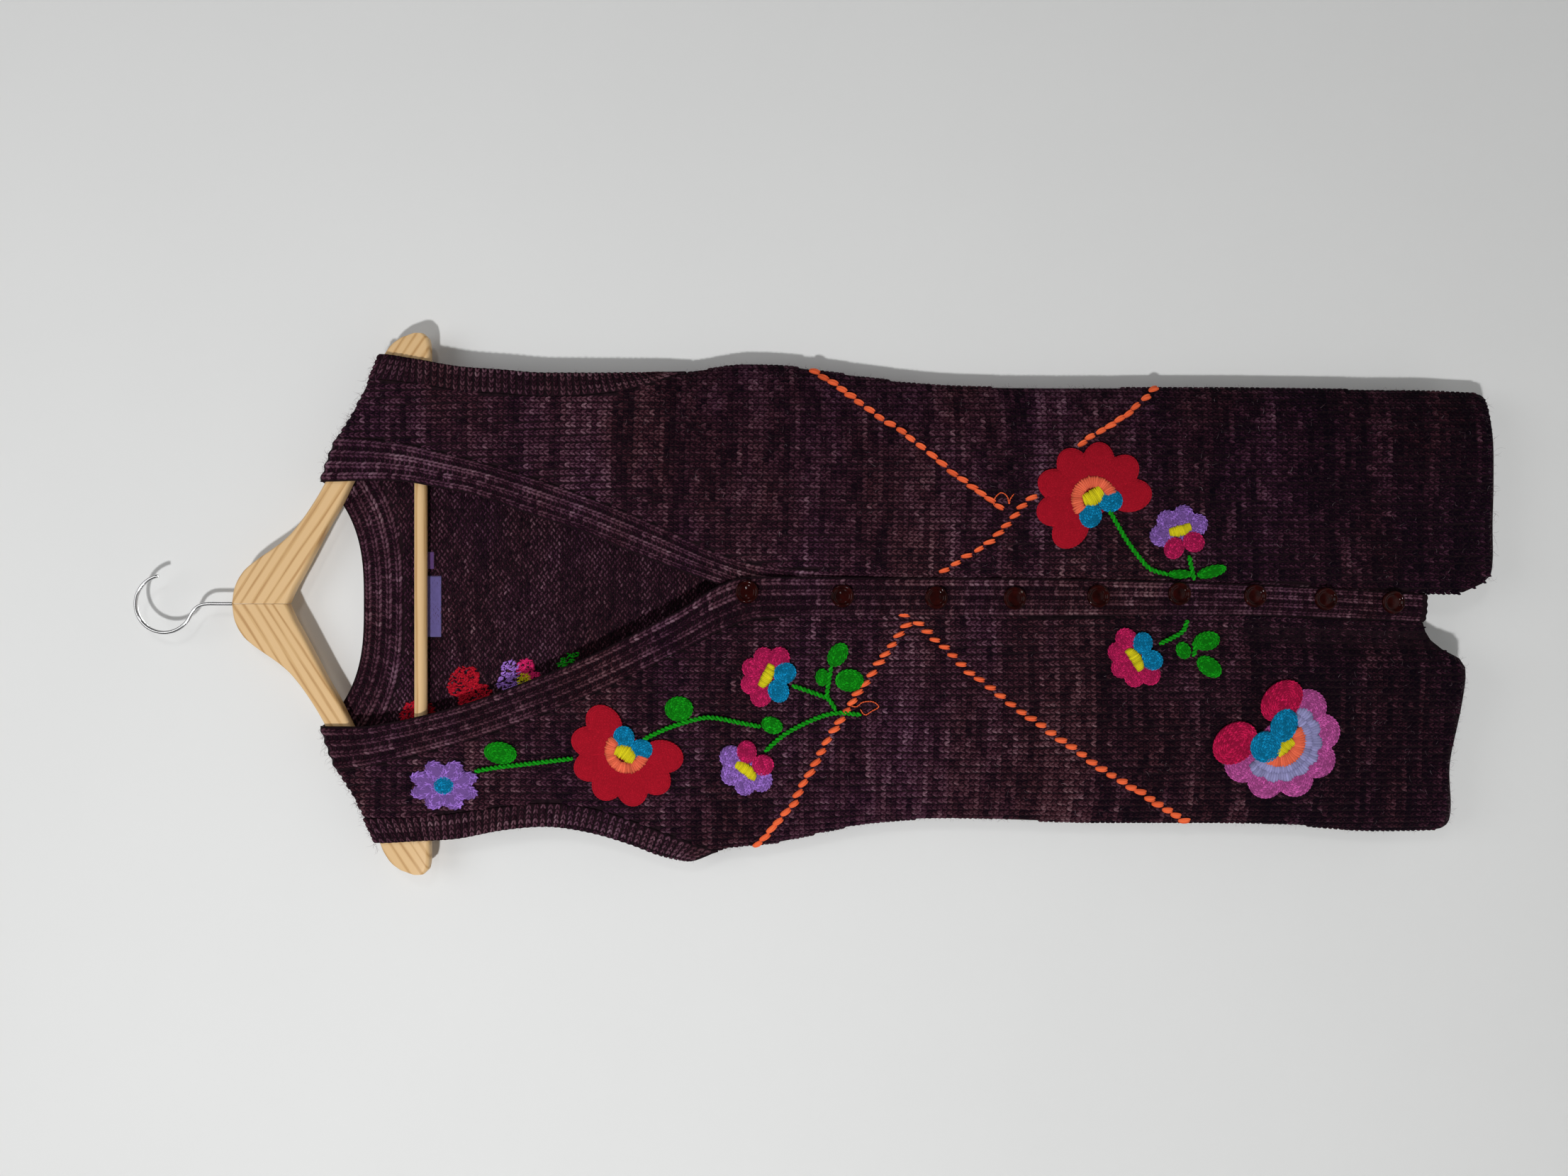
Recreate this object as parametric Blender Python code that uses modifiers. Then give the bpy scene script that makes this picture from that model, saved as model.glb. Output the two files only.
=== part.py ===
"""A long knitted folk waistcoat, embroidered with flowers, hanging flat on a wooden hanger.

The origin is inside the top of the hanger's hook, +Z is up and the fronts face -Y, so the
wearer's right side is at -X. Tables and named sizes are in millimetres, and solid() turns
them into metres. A height in a table is a Z, so it is negative: all of it hangs below the hook.
"""

import math

import bmesh
import bpy
import numpy as np

MM = 0.001
COLLECTION = "embroidered_folk_vest"
FRONT, BACK = -1, 1  # the sign of Y on each side of the garment

# ---------------------------------------------------------------- driving sizes

GAP = 0.3  # between two pieces that are sewn to each other
TURNED_GAP = 0.8  # the same where the seam turns over an edge, between flat faces
WALL = 3.0  # thickness of the knitted cloth
RIB_RAISE = 1.3  # how far a rib stands out of its band
BAND_RIBS = 4  # ribs that run along the neck and button bands
ARM_RIB_PITCH = 5.9  # ribs that run across the armhole bands
LAP_OUT, LAP_IN = 1.5, 3.6  # how far the lapped button bands move out and in
LAP_FROM, LAP_FULL = -395.0, -466.0  # heights between which the two bands come to lap
BAND_END = -1049.0  # the button bands end here, above the hems
SHOULDER_ROUND = 11.0  # height over which the cloth turns over the hanger's arms
OPEN_EDGE = 11.0  # half the space between front and back at an armhole
UNDERARM = {"left": -455.0, "right": -430.0}
NECK_SEAM_X = 137.0  # where the neck bands' seams meet the shoulder seam

# Outline of the hanging garment from the front, and how far front and back stand from y = 0.
OUTLINE_COLUMNS = ("z", "left", "right", "front", "back", "edge")
OUTLINE = (
    (-150, -194.5, 203.5, 11.0, 11.0, 11.0),
    (-200, -194.5, 203.5, 11.0, 11.0, 11.0),
    (-232, -193.0, 199.4, 11.4, 11.4, 10.7),
    (-266, -191.0, 193.6, 12.4, 12.4, 10.2),
    (-301, -184.5, 191.0, 13.7, 13.4, 9.6),
    (-336, -181.5, 188.5, 15.0, 14.2, 9.0),
    (-371, -186.0, 188.5, 16.0, 15.0, 8.4),
    (-406, -196.5, 189.0, 17.0, 15.5, 6.5),
    (-430, -206.0, 189.5, 17.5, 16.0, 3.6),
    (-455, -211.0, 191.0, 18.0, 16.0, 0.0),
    (-476, -203.5, 194.5, 18.0, 16.0, 0.0),
    (-500, -199.5, 197.8, 18.0, 16.0, 0.0),
    (-528, -196.5, 196.5, 18.0, 16.0, 0.0),
    (-563, -188.5, 192.0, 18.0, 16.0, 0.0),
    (-598, -181.5, 187.0, 18.0, 16.0, 0.0),
    (-633, -178.0, 182.5, 18.0, 16.0, 0.0),
    (-668, -177.0, 179.5, 18.0, 16.0, 0.0),
    (-790, -180.0, 178.0, 18.5, 16.0, 0.0),
    (-877, -180.0, 178.0, 19.0, 16.0, 0.0),
    (-947, -182.0, 177.3, 19.5, 16.5, 0.0),
    (-1017, -187.3, 176.3, 20.0, 17.0, 0.0),
    (-1052, -186.8, 176.0, 20.0, 17.0, 0.0),
    (-1087, -185.0, 174.0, 20.0, 17.0, 0.0),
    (-1110, -184.0, 173.0, 20.0, 17.0, 0.0),
)

SHOULDER_COLUMNS = ("x", "z")  # the shoulder seam, mirrored to both sides
SHOULDER = ((0, -104), (98, -151), (135, -165), (152, -175.5), (171, -185.5), (190, -194.5), (206, -201))

BAND_COLUMNS = ("z", "edge", "seam")
# The wearer's right band, from the shoulder down: it laps over the left one.
RIGHT_BAND = (
    (-152, -100.0, -137.0),
    (-182, -100.3, -134.5),
    (-215, -96.0, -127.5),
    (-242, -90.0, -120.5),
    (-274, -81.0, -111.5),
    (-323, -63.0, -94.5),
    (-368, -45.0, -77.0),
    (-413, -23.0, -56.0),
    (-449, -4.0, -38.0),
    (-478, 14.0, -23.0),
    (-502, 21.5, -14.0),
    (-530, 21.7, -11.5),
    (-600, 21.0, -10.5),
    (-780, 19.5, -10.0),
    (-900, 15.8, -9.5),
    (-980, 12.0, -12.0),
    (BAND_END, 7.5, -15.0),
)
LEFT_BAND = (
    (-152, 100.0, 137.0),
    (-182, 101.0, 135.5),
    (-225, 99.6, 130.5),
    (-250, 95.0, 124.5),
    (-275, 90.5, 118.5),
    (-300, 82.5, 111.5),
    (-323, 74.0, 104.5),
    (-368, 59.0, 89.0),
    (-404, 44.0, 75.0),
    (-445, 29.0, 57.0),
    (-477, 17.5, 42.0),
    (-502, 8.0, 34.0),
    (-530, 1.0, 30.0),
    (-600, -4.0, 26.0),
    (-780, -6.5, 23.5),
    (-900, -7.0, 19.5),
    (-980, -9.0, 14.5),
    (BAND_END, -11.5, 9.5),
)

BACK_NECK_EDGE, BACK_NECK_SEAM = -183.0, -216.0  # lowest points of the back neck band
BACK_NECK_POWER = 3  # how fast the back neck rises towards the shoulders

# Seam between an armhole band and its panel, beside the height of the band's free edge.
ARM_SEAM_COLUMNS = ("edge_z", "seam_x", "seam_z")
ARM_SEAM = {
    "left": (
        (-199, -174.5, -187.0),
        (-249, -172.0, -247.0),
        (-301, -164.5, -303.0),
        (-336, -161.5, -338.0),
        (-371, -166.0, -377.0),
        (-406, -177.5, -413.0),
        (-430, -187.5, -438.0),
        (-443, -194.5, -456.0),
        (UNDERARM["left"], -202.8, -478.0),
    ),
    "right": (
        (-199, 183.5, -191.4),
        (-232, 179.5, -231.5),
        (-266, 173.8, -265.5),
        (-301, 171.0, -301.5),
        (-336, 168.6, -337.0),
        (-371, 170.0, -374.0),
        (-395, 173.5, -401.0),
        (-415, 180.0, -425.0),
        (UNDERARM["right"], 190.5, -452.0),
    ),
}

HEM_COLUMNS = ("x", "z")
RIGHT_HEM = (
    (-188, -1066),
    (-178, -1073),
    (-133, -1070),
    (-78, -1078),
    (-50, -1080),
    (-42, -1075),
    (-36, -1065),
    (-28, -1058),
    (-15, -1049),
)
LEFT_HEM = ((8, -1074), (12, -1086), (17, -1095), (25, -1102), (60, -1104), (168, -1103), (175, -1100))
BACK_HEM = ((-188, -1065), (-60, -1062), (0, -1063), (60, -1071), (120, -1088), (175, -1098))

# Soft folds: each runs from its top to the hem, and goes in where its depth is positive.
FOLD_COLUMNS = ("face", "top_x", "top_z", "low_x", "low_z", "half_width", "depth")
FOLDS = (
    (FRONT, -16, -740, -29, -1080, 13, 12.0),
    (FRONT, -62, -860, -60, -1080, 20, -2.5),
    (FRONT, -128, -840, -138, -1075, 24, 2.2),
    (FRONT, 70, -880, 62, -1105, 24, 1.8),
    (FRONT, 128, -820, 134, -1105, 22, -1.6),
    (BACK, -96, -700, -108, -1065, 26, 2.6),
    (BACK, -20, -760, -16, -1065, 24, -2.2),
    (BACK, 74, -680, 82, -1075, 28, 3.0),
    (BACK, 138, -860, 136, -1095, 18, -1.8),
)

TOP_ROWS = (0.0, 0.2, 1.0, 2.8, 6.0, SHOULDER_ROUND)  # mm down from the shoulder seam
# Rows below those, as (height of the last one, number of rows): they are closest together
# at the underarm, where the open armhole turns into the side seam.
LOWER_ROWS = ((-405.0, 8), (-480.0, 8), (-1090.0, 11))
PLAN_TOP = -166.0  # the shoulder seam's height beside the neck, from which the rows are counted
FRONT_COLUMNS = (0.0, 0.05, 0.1, 0.16, 0.25, 0.39, 0.55, 0.7, 0.83, 0.92, 0.975, 1.0)
BACK_CORNER_COLUMNS = (0.0, 0.4, 2.0, 7.2)  # mm from the neck seam's corner, on the back
BACK_MIDDLE_COLUMNS = 6  # columns of the back panel between those of its two corners
BACK_SIDE_COLUMNS = (0.45, 0.8, 0.95, 1.0)  # shares of the way from the corner to the side

BUTTON_RADIUS, BUTTON_THICK = 9.25, 3.4
BUTTON_X_Z = (
    (10.0, -502.0),
    (6.5, -578.6),
    (5.3, -654.0),
    (4.8, -717.0),
    (6.4, -784.0),
    (8.3, -849.0),
    (6.8, -909.5),
    (4.3, -966.0),
    (1.6, -1020.0),
)

LABEL_COLUMNS = ("name", "left", "right", "top", "bottom")
LABELS = (("neck_label", -27.5, 23.0, -230.0, -247.5), ("size_tab", 28.9, 42.9, -230.5, -241.5))
LABEL_THICK = 0.7
LABEL_STEPS = 4  # faces across a label

# Raised flowers. Each is a fan of round petals from the first angle to the last, and two
# lips that face its stem. Angles are in degrees, from the viewer's right, anticlockwise.
FLOWER_COLUMNS = (
    "name", "face", "x", "z", "petals", "first", "last", "reach", "petal",
    "lip_a", "lip_b", "lip_reach", "lip", "stretch",
)  # fmt: skip
FLOWERS = (
    ("violet_star", FRONT, -147, -256, 8, 22.5, 337.5, 14, 7.0, 0, 0, 0, 6.0, 1.38),
    ("rose_right", FRONT, -118, -405, 7, 40, 261, 33.5, 11.5, 12, 277, 13, 9.0, 1.02),
    ("violet_fan_right", FRONT, -128, -504, 4, 70, 216, 17, 8.2, 12, 270, 12.5, 8.5, 1.0),
    ("pink_fan_right", FRONT, -59, -522, 5, -20, 148, 18, 8.0, 208, 292, 13, 9.0, 1.0),
    ("pink_fan_low", FRONT, -41, -818, 5, 39, 209, 18, 8.0, -14, 251, 12, 8.5, 1.0),
    ("orchid_fan", FRONT, -108, -930, 6, 126, 319, 36, 12.5, 92, 0, 31, 15.0, 1.03),
    ("rose_left", FRONT, 83, -781, 7, -82, 142, 35, 11.5, 168, 266, 15, 9.5, 1.02),
    ("violet_fan_left", FRONT, 54, -851, 4, -54, 87, 17, 8.0, 150, 245, 13, 8.5, 1.0),
    ("rose_back", BACK, -86, -252, 7, 215, 436, 29, 10.5, 168, 243, 12, 9.0, 1.0),
    ("violet_fan_back", BACK, -64, -316, 4, -20, 128, 15, 7.5, 185, 272, 12, 7.5, 1.0),
)
LEAF_COLUMNS = ("name", "face", "x", "z", "half_width", "half_length", "lean")
LEAVES = (
    ("leaf_star", FRONT, -120.5, -302.0, 9.0, 13.5, -8),
    ("leaf_rose_right", FRONT, -84.0, -447.0, 10.0, 11.5, 0),
    ("leaf_fan_right", FRONT, -97.0, -522.0, 6.5, 9.0, -20),
    ("leaf_twig_top", FRONT, -58.5, -562.5, 7.0, 5.6, 0),
    ("leaf_twig_low", FRONT, -61.0, -584.5, 9.0, 11.5, 0),
    ("leaf_twig_end", FRONT, -40.5, -575.0, 7.5, 10.5, 55),
    ("leaf_low_top", FRONT, -37.0, -853.5, 7.0, 6.0, 20),
    ("leaf_low_mid", FRONT, -29.5, -873.0, 7.5, 11.0, 15),
    ("leaf_low_end", FRONT, -50.0, -874.0, 7.5, 11.0, -35),
    ("leaf_left_top", FRONT, 24.0, -850.5, 3.8, 9.5, 0),
    ("leaf_left_low", FRONT, 26.0, -876.0, 5.0, 12.0, 15),
    ("leaf_back", BACK, -47.0, -352.0, 7.5, 11.0, 35),
)
APPLIQUE_LIFT = 0.5  # clear of the cloth, whose faces are flat between its points
FLOWER_HEIGHT, LEAF_HEIGHT, APPLIQUE_RIM = 2.2, 1.7, 0.9
FLOWER_SIDES, LEAF_SIDES = 34, 14

# Hanger: the outline of one arm, mirrored at the mitre.
ARM_THICK = 12.0
ARM_COLUMNS = ("x", "top", "bottom")
ARM = (
    (0.15, -79.3, -125.0),
    (14, -81.6, -131.5),
    (21, -84.8, -135.5),
    (28, -89.8, -139.3),
    (35, -98, -143),
    (42, -108, -146.6),
    (49, -118, -150.4),
    (56, -126, -154),
    (66, -134.5, -159.5),
    (78, -143, -166.5),
    (98, -154.9, -176.5),
    (135, -168.9, -194),
    (152, -179.4, -203.5),
    (171, -189.4, -215),
    (186, -196.8, -224),
    (188.3, -197.8, -241.5),
    (206, -205.2, -241.5),
    (213, -210.5, -241.2),
    (218, -217.5, -240.0),
    (221.5, -227, -236.5),
)
ARM_EDGE_ROUND = 3.5
BAR_RADIUS, BAR_Z, BAR_HALF = 5.25, -233.2, 185.6
WIRE_RADIUS = 1.5
HOOK_RADIUS = 23.6  # of the wire's centre line
HOOK_FROM, HOOK_TO = 238.0, 12.0  # degrees, from the neck of the hook over its top to its tip
HOOK_POINTS = 19
SHAFT_TOP, SHAFT_BOTTOM = -58.0, -78.9

MATERIAL_COLUMNS = ("colour", "roughness", "metallic")
MATERIALS = {
    "plum_knit": ((0.045, 0.026, 0.036), 0.95, 0.0),
    "violet_wool": ((0.30, 0.18, 0.58), 0.9, 0.0),
    "red_wool": ((0.48, 0.012, 0.025), 0.95, 0.0),
    "pink_wool": ((0.60, 0.02, 0.11), 0.9, 0.0),
    "orchid_wool": ((0.51, 0.08, 0.40), 0.9, 0.0),
    "green_wool": ((0.01, 0.30, 0.012), 0.9, 0.0),
    "button_brown": ((0.035, 0.01, 0.008), 0.15, 0.0),
    "label_violet": ((0.12, 0.09, 0.33), 0.7, 0.0),
    "pine": ((0.75, 0.48, 0.21), 0.5, 0.0),
    "steel_wire": ((0.6, 0.6, 0.6), 0.25, 1.0),
}
FLOWER_MATERIAL = {
    "violet": "violet_wool",
    "rose": "red_wool",
    "pink": "pink_wool",
    "orchid": "orchid_wool",
}


# ---------------------------------------------------------------- curves and tables


def rows_of(table, columns):
    """Each row of a table as a dictionary of its columns' names."""
    return [dict(zip(columns, row)) for row in table]


def read(table, columns, wanted, at):
    """A smooth curve through one column of a table, over its first column."""
    data = np.array(table, float)
    data = data[np.argsort(data[:, 0])]
    key, value = data[:, 0], data[:, columns.index(wanted)]
    slope = np.gradient(value, key)
    steps = np.diff(value) / np.diff(key)
    # No slope is over three times the gentler step beside it, so the curve never overshoots.
    least = np.minimum(np.append(np.inf, np.abs(steps)), np.append(np.abs(steps), np.inf))
    slope = np.clip(slope, -3 * least, 3 * least)
    slope[1:-1][steps[:-1] * steps[1:] <= 0] = 0.0
    at = float(np.clip(at, key[0], key[-1]))
    i = int(np.clip(np.searchsorted(key, at) - 1, 0, len(key) - 2))
    width = key[i + 1] - key[i]
    t = (at - key[i]) / width
    rise = value[i + 1] - value[i]
    low, high = slope[i] * width - rise, -slope[i + 1] * width + rise
    return float(value[i] + t * rise + t * (1 - t) * ((1 - t) * low + t * high))


def blend(low, high, at):
    """0 before low, 1 after high, and a soft step between them."""
    t = min(1.0, max(0.0, (at - low) / (high - low)))
    return t * t * (3 - 2 * t)


def outline(wanted, z):
    return read(OUTLINE, OUTLINE_COLUMNS, wanted, z)


def shoulder_z(x):
    return read(SHOULDER, SHOULDER_COLUMNS, "z", abs(x))


def back_neck_z(x, lowest, corner_x):
    """The back neck's curve: lowest at the middle, and on the shoulder seam at corner_x."""
    rise = shoulder_z(corner_x) - lowest
    return lowest + rise * min(1.0, abs(x) / corner_x) ** BACK_NECK_POWER


# ---------------------------------------------------------------- the cloth's surface


def fold_depth(face, x, z):
    total = 0.0
    for fold in rows_of(FOLDS, FOLD_COLUMNS):
        if fold["face"] != face:
            continue
        share = min(1.0, max(0.0, (fold["top_z"] - z) / (fold["top_z"] - fold["low_z"])))
        middle = fold["top_x"] + share * (fold["low_x"] - fold["top_x"])
        total += fold["depth"] * blend(0, 1, share) * math.exp(-(((x - middle) / fold["half_width"]) ** 2))
    return total


def cloth_point(face, x, z, inward=0.0):
    """The point over x, z on the front or back cloth, moved inward from its outer face.

    The garment is a flattened tube. At the side seams its two faces meet, at the armholes
    they stay apart, and over the hanger's arms they turn inward to the shoulder seam.
    """
    left, right = outline("left", z), outline("right", z)
    middle, half = (left + right) / 2, (right - left) / 2
    edge, depth = outline("edge", z), outline("front" if face == FRONT else "back", z)
    openness = min(1.0, edge / OPEN_EDGE)
    across = min(1.0, max(-1.0, (x - middle) / half))
    side_round = math.sqrt(1 - abs(across) ** 6)
    at_edge = max(GAP / 2, edge - inward * openness)
    out = at_edge + (depth - inward - at_edge) * side_round
    drop = min(1.0, max(0.0, (shoulder_z(x) - z) / SHOULDER_ROUND))
    top_round = (1 - (1 - drop) ** 3) ** (1 / 3)
    out -= fold_depth(face, x, z) * side_round
    out = max(GAP / 2, out * top_round)
    moved_x = middle + across * (half - inward * (1 - openness))
    return (moved_x, face * out, z - inward * (1 - drop))


def cloth_layer(face, plan, inward):
    """plan is a grid of (x, z): the same grid on the cloth."""
    return [[cloth_point(face, x, z, inward) for x, z in row] for row in plan]


# ---------------------------------------------------------------- meshes


def material(name):
    found = bpy.data.materials.get(name)
    if found:
        return found
    look = dict(zip(MATERIAL_COLUMNS, MATERIALS[name]))
    made = bpy.data.materials.new(name)
    made.use_nodes = True
    shader = made.node_tree.nodes["Principled BSDF"]
    shader.inputs["Base Color"].default_value = (*look["colour"], 1.0)
    shader.inputs["Roughness"].default_value = look["roughness"]
    shader.inputs["Metallic"].default_value = look["metallic"]
    return made


def keep(obj, material_name):
    """Puts a finished object in the part's collection, with its material."""
    for holder in list(obj.users_collection):
        holder.objects.unlink(obj)
    bpy.data.collections[COLLECTION].objects.link(obj)
    obj.data.materials.clear()
    obj.data.materials.append(material(material_name))
    return obj


def solid(name, points, faces, material_name):
    """A closed mesh from points in millimetres, with its faces turned outward."""
    mesh = bpy.data.meshes.new(name)
    mesh.from_pydata([tuple(c * MM for c in point) for point in points], [], faces)
    work = bmesh.new()
    work.from_mesh(mesh)
    bmesh.ops.recalc_face_normals(work, faces=work.faces)
    work.to_mesh(mesh)
    work.free()
    mesh.shade_smooth()
    mesh.set_sharp_from_angle(angle=math.radians(50))
    obj = bpy.data.objects.new(name, mesh)
    bpy.context.scene.collection.objects.link(obj)
    return keep(obj, material_name)


def walled(name, outer, inner, material_name):
    """A wall between two grids of the same size: both faces and the four rims."""
    rows, columns = len(outer), len(outer[0])
    points = [p for layer in (outer, inner) for row in layer for p in row]

    def at(layer, r, c):
        return (layer * rows + r) * columns + c

    faces = []
    for layer in (0, 1):
        for r in range(rows - 1):
            for c in range(columns - 1):
                corners = ((r, c), (r, c + 1), (r + 1, c + 1), (r + 1, c))
                faces.append([at(layer, row, column) for row, column in corners])
                if layer:
                    faces[-1].reverse()
    border = [(0, c) for c in range(columns)] + [(r, columns - 1) for r in range(1, rows)]
    border += [(rows - 1, c) for c in range(columns - 2, -1, -1)] + [(r, 0) for r in range(rows - 2, 0, -1)]
    for (r, c), (r2, c2) in zip(border, border[1:] + border[:1]):
        faces.append([at(0, r2, c2), at(0, r, c), at(1, r, c), at(1, r2, c2)])
    return solid(name, points, faces, material_name)


def lofted(name, rings, material_name):
    """A skin over closed rings of the same length, with a flat cap on each end."""
    count = len(rings[0])
    points = [p for ring in rings for p in ring]
    faces = [list(range(count)), [(len(rings) - 1) * count + i for i in reversed(range(count))]]
    for r in range(len(rings) - 1):
        for i in range(count):
            j = (i + 1) % count
            faces.append([r * count + j, r * count + i, (r + 1) * count + i, (r + 1) * count + j])
    return solid(name, points, faces, material_name)


# ---------------------------------------------------------------- panels


def arm_seam_end(side):
    """The height where an armhole band's seam comes to the side seam."""
    return float(rows_of(ARM_SEAM[side], ARM_SEAM_COLUMNS)[-1]["seam_z"])


def side_limit(side, z):
    """The x where a panel ends: at the armhole band's seam, and below it at the side seam."""
    if z <= arm_seam_end(side):
        return outline(side, z)
    seam = [(row["seam_z"], row["seam_x"]) for row in rows_of(ARM_SEAM[side], ARM_SEAM_COLUMNS)]
    return read(seam, ("z", "x"), "x", z)


def row_drops():
    """Heights of a panel's rows below the shoulder seam, for a panel of full length."""
    drops = list(TOP_ROWS)
    for end, rows in LOWER_ROWS:
        start, end = drops[-1], PLAN_TOP - end
        drops += [start + (end - start) * i / rows for i in range(1, rows + 1)]
    return drops


def plan_row_z(drop, share, top_z, hem_z):
    """The height of a row: the first rows keep their drop, and the last one is the hem."""
    stretched = share * (top_z - hem_z)
    mix = blend(0.0, 0.3, share)
    return top_z - (drop * (1 - mix) + stretched * mix)


def front_plan(side):
    """The grid of (x, z) of a front panel, from the neck side to the armhole side."""
    band, hem = (RIGHT_BAND, RIGHT_HEM) if side == "left" else (LEFT_BAND, LEFT_HEM)
    toward_side = -1 if side == "left" else 1
    drops = row_drops()
    plan = []
    for drop in drops:
        share = drop / drops[-1]
        row = []
        for across in FRONT_COLUMNS:
            z = PLAN_TOP - drop
            for _ in range(12):
                inner = read(band, BAND_COLUMNS, "seam", z) + toward_side * GAP / 2
                x = inner + across * (side_limit(side, z) - inner)
                z = plan_row_z(drop, share, shoulder_z(x), read(hem, HEM_COLUMNS, "z", x))
            row.append((x, z))
        plan.append(row)
    meet_underarm(plan, -1, side)
    return plan


def back_neck_columns():
    """The x of each column under the back neck band: close together where it turns over a shoulder."""
    corner = [NECK_SEAM_X - away for away in BACK_CORNER_COLUMNS]
    inner = corner[-1]
    middle = [inner * (1 - 2 * i / BACK_MIDDLE_COLUMNS) for i in range(1, BACK_MIDDLE_COLUMNS)]
    return sorted(corner + middle + [-x for x in corner])


def meet_underarm(plan, column, side):
    """Moves the nearest point of a panel's side onto the end of the armhole band's seam."""
    end = (outline(side, arm_seam_end(side)), arm_seam_end(side))
    nearest = min(plan, key=lambda row: abs(row[column][1] - end[1]))
    nearest[column] = end


def back_plan():
    """The grid of (x, z) of the back, from the viewer's left to right as seen from the front."""
    drops = row_drops()
    neck = back_neck_columns()
    sides = [-share for share in reversed(BACK_SIDE_COLUMNS)] + [None] * len(neck) + list(BACK_SIDE_COLUMNS)
    plan = []
    for drop in drops:
        share = drop / drops[-1]
        row = []
        for i, way in enumerate(sides):
            z = PLAN_TOP - drop
            for _ in range(12):
                if way is None:
                    x = neck[i - len(BACK_SIDE_COLUMNS)]
                    top = back_neck_z(x, BACK_NECK_SEAM, NECK_SEAM_X) - GAP / 2
                else:
                    start = math.copysign(NECK_SEAM_X, way)
                    x = start + abs(way) * (side_limit("left" if way < 0 else "right", z) - start)
                    top = shoulder_z(x)
                z = plan_row_z(drop, share, top, read(BACK_HEM, HEM_COLUMNS, "z", x))
            row.append((x, z))
        plan.append(row)
    meet_underarm(plan, 0, "left")
    meet_underarm(plan, -1, "right")
    return plan


def panel(name, face, plan):
    return walled(name, cloth_layer(face, plan, 0.0), cloth_layer(face, plan, WALL), "plum_knit")


# ---------------------------------------------------------------- bands


def parted(seam, edge, gap=GAP):
    """A seam point moved a gap's width towards the band's free edge."""
    far = math.dist(seam, edge)
    return tuple(a + gap * (b - a) / far for a, b in zip(seam, edge))


def rib_ring(face, seam, edge, lap):
    """The ring of a band's section: ribs on the outside, plain on the inside.

    seam and edge are (x, z), and lap(share) moves the section inward, share being the way
    from the seam to the edge.
    """
    steps = 2 * BAND_RIBS
    ring = []
    for i in range(steps + 1):
        share = i / steps
        raised = -RIB_RAISE if i % 2 else -0.2
        x, z = (seam[k] + share * (edge[k] - seam[k]) for k in (0, 1))
        ring.append(cloth_point(face, x, z, raised + lap(share)))
    for share in (1.0, 1 / steps, 0.0):
        x, z = (seam[k] + share * (edge[k] - seam[k]) for k in (0, 1))
        ring.append(cloth_point(face, x, z, WALL - 0.4 + lap(share)))
    return ring


def band_edge_point(band, seam_z, slope):
    """The free edge's point beside a seam point, square to the seam over the neck."""
    lowered = seam_z + slope
    return read(band, BAND_COLUMNS, "edge", lowered), lowered


def front_band(name, side, plan):
    """A neck and button band in one strip, from the shoulder to its end above the hem."""
    band = RIGHT_BAND if side == "left" else LEFT_BAND
    way = -LAP_OUT if side == "left" else LAP_IN
    stations = [z for x, z in (row[0] for row in plan) if z > BAND_END + 4] + [BAND_END]
    inner_x, inner_z = zip(*(row[0] for row in plan))
    rings = []
    for z in stations:
        x = float(np.interp(-z, [-v for v in inner_z], inner_x))
        square = 12.0 * blend(-155, -230, z) * (1 - blend(-440, -505, z))
        drop = shoulder_z(x) - z
        if drop < SHOULDER_ROUND + 0.01:
            edge_x = read(band, BAND_COLUMNS, "edge", -152)
            edge = (edge_x, shoulder_z(edge_x) - drop)
        else:
            edge = band_edge_point(band, z, square)
        lapped = blend(LAP_FROM, LAP_FULL, z)
        seam = parted((x, z), edge)
        rings.append(rib_ring(FRONT, seam, edge, lambda share: way * lapped * blend(0.0, 0.12, share)))
    return lofted(name, rings, "plum_knit")


def back_neck_band(plan):
    """The neck band across the back, from shoulder seam to shoulder seam."""
    first = len(BACK_SIDE_COLUMNS)
    seam_points = plan[0][first : first + len(back_neck_columns())]
    edge_corner = 100.0
    rings = []
    for x, z in seam_points:
        edge_x = x * edge_corner / NECK_SEAM_X
        edge = (edge_x, back_neck_z(edge_x, BACK_NECK_EDGE, edge_corner))
        rings.append(rib_ring(BACK, parted((x, z), edge, TURNED_GAP), edge, lambda share: 0.0))
    return lofted("band_neck_back", rings, "plum_knit")


def arm_band(name, face, side, plan):
    """Half of an armhole band: ribs run across it, from the shoulder to the underarm."""
    column = -1 if face == FRONT or side == "right" else 0
    ladder = rows_of(ARM_SEAM[side][::-1], ARM_SEAM_COLUMNS)

    def free_edge(x, z):
        """The point of the band's free edge beside a point of its seam."""
        edge_z = float(np.interp(z, [row["seam_z"] for row in ladder], [row["edge_z"] for row in ladder]))
        tip = outline(side, edge_z)
        drop = shoulder_z(x) - z
        return (tip, shoulder_z(tip) - drop) if drop < SHOULDER_ROUND else (tip, edge_z)

    # Between two points of the panel's side the seam is straight, as the panel's own rim is.
    nodes = [row[column] for row in plan if row[column][1] >= arm_seam_end(side)]
    rings = []
    for above, below in zip(nodes, nodes[1:]):
        steps = max(1, 2 * round(math.dist(above, below) / ARM_RIB_PITCH))
        last = below == nodes[-1]
        for i in range(steps + last):
            share = i / steps
            seam = [a + share * (b - a) for a, b in zip(above, below)]
            end = free_edge(*seam)
            raised = -RIB_RAISE if len(rings) % 2 else -0.2

            def seam_point(inward):
                nodes_in = [parted(node, free_edge(*node), TURNED_GAP) for node in (above, below)]
                ends = [cloth_point(face, *node, inward) for node in nodes_in]
                return tuple(a + share * (b - a) for a, b in zip(*ends))

            rings.append(
                [
                    seam_point(raised),
                    cloth_point(face, *end, raised),
                    cloth_point(face, *end, WALL - 0.4),
                    seam_point(WALL - 0.4),
                ]
            )
    return lofted(name, rings, "plum_knit")


# ---------------------------------------------------------------- what lies on the cloth


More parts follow.
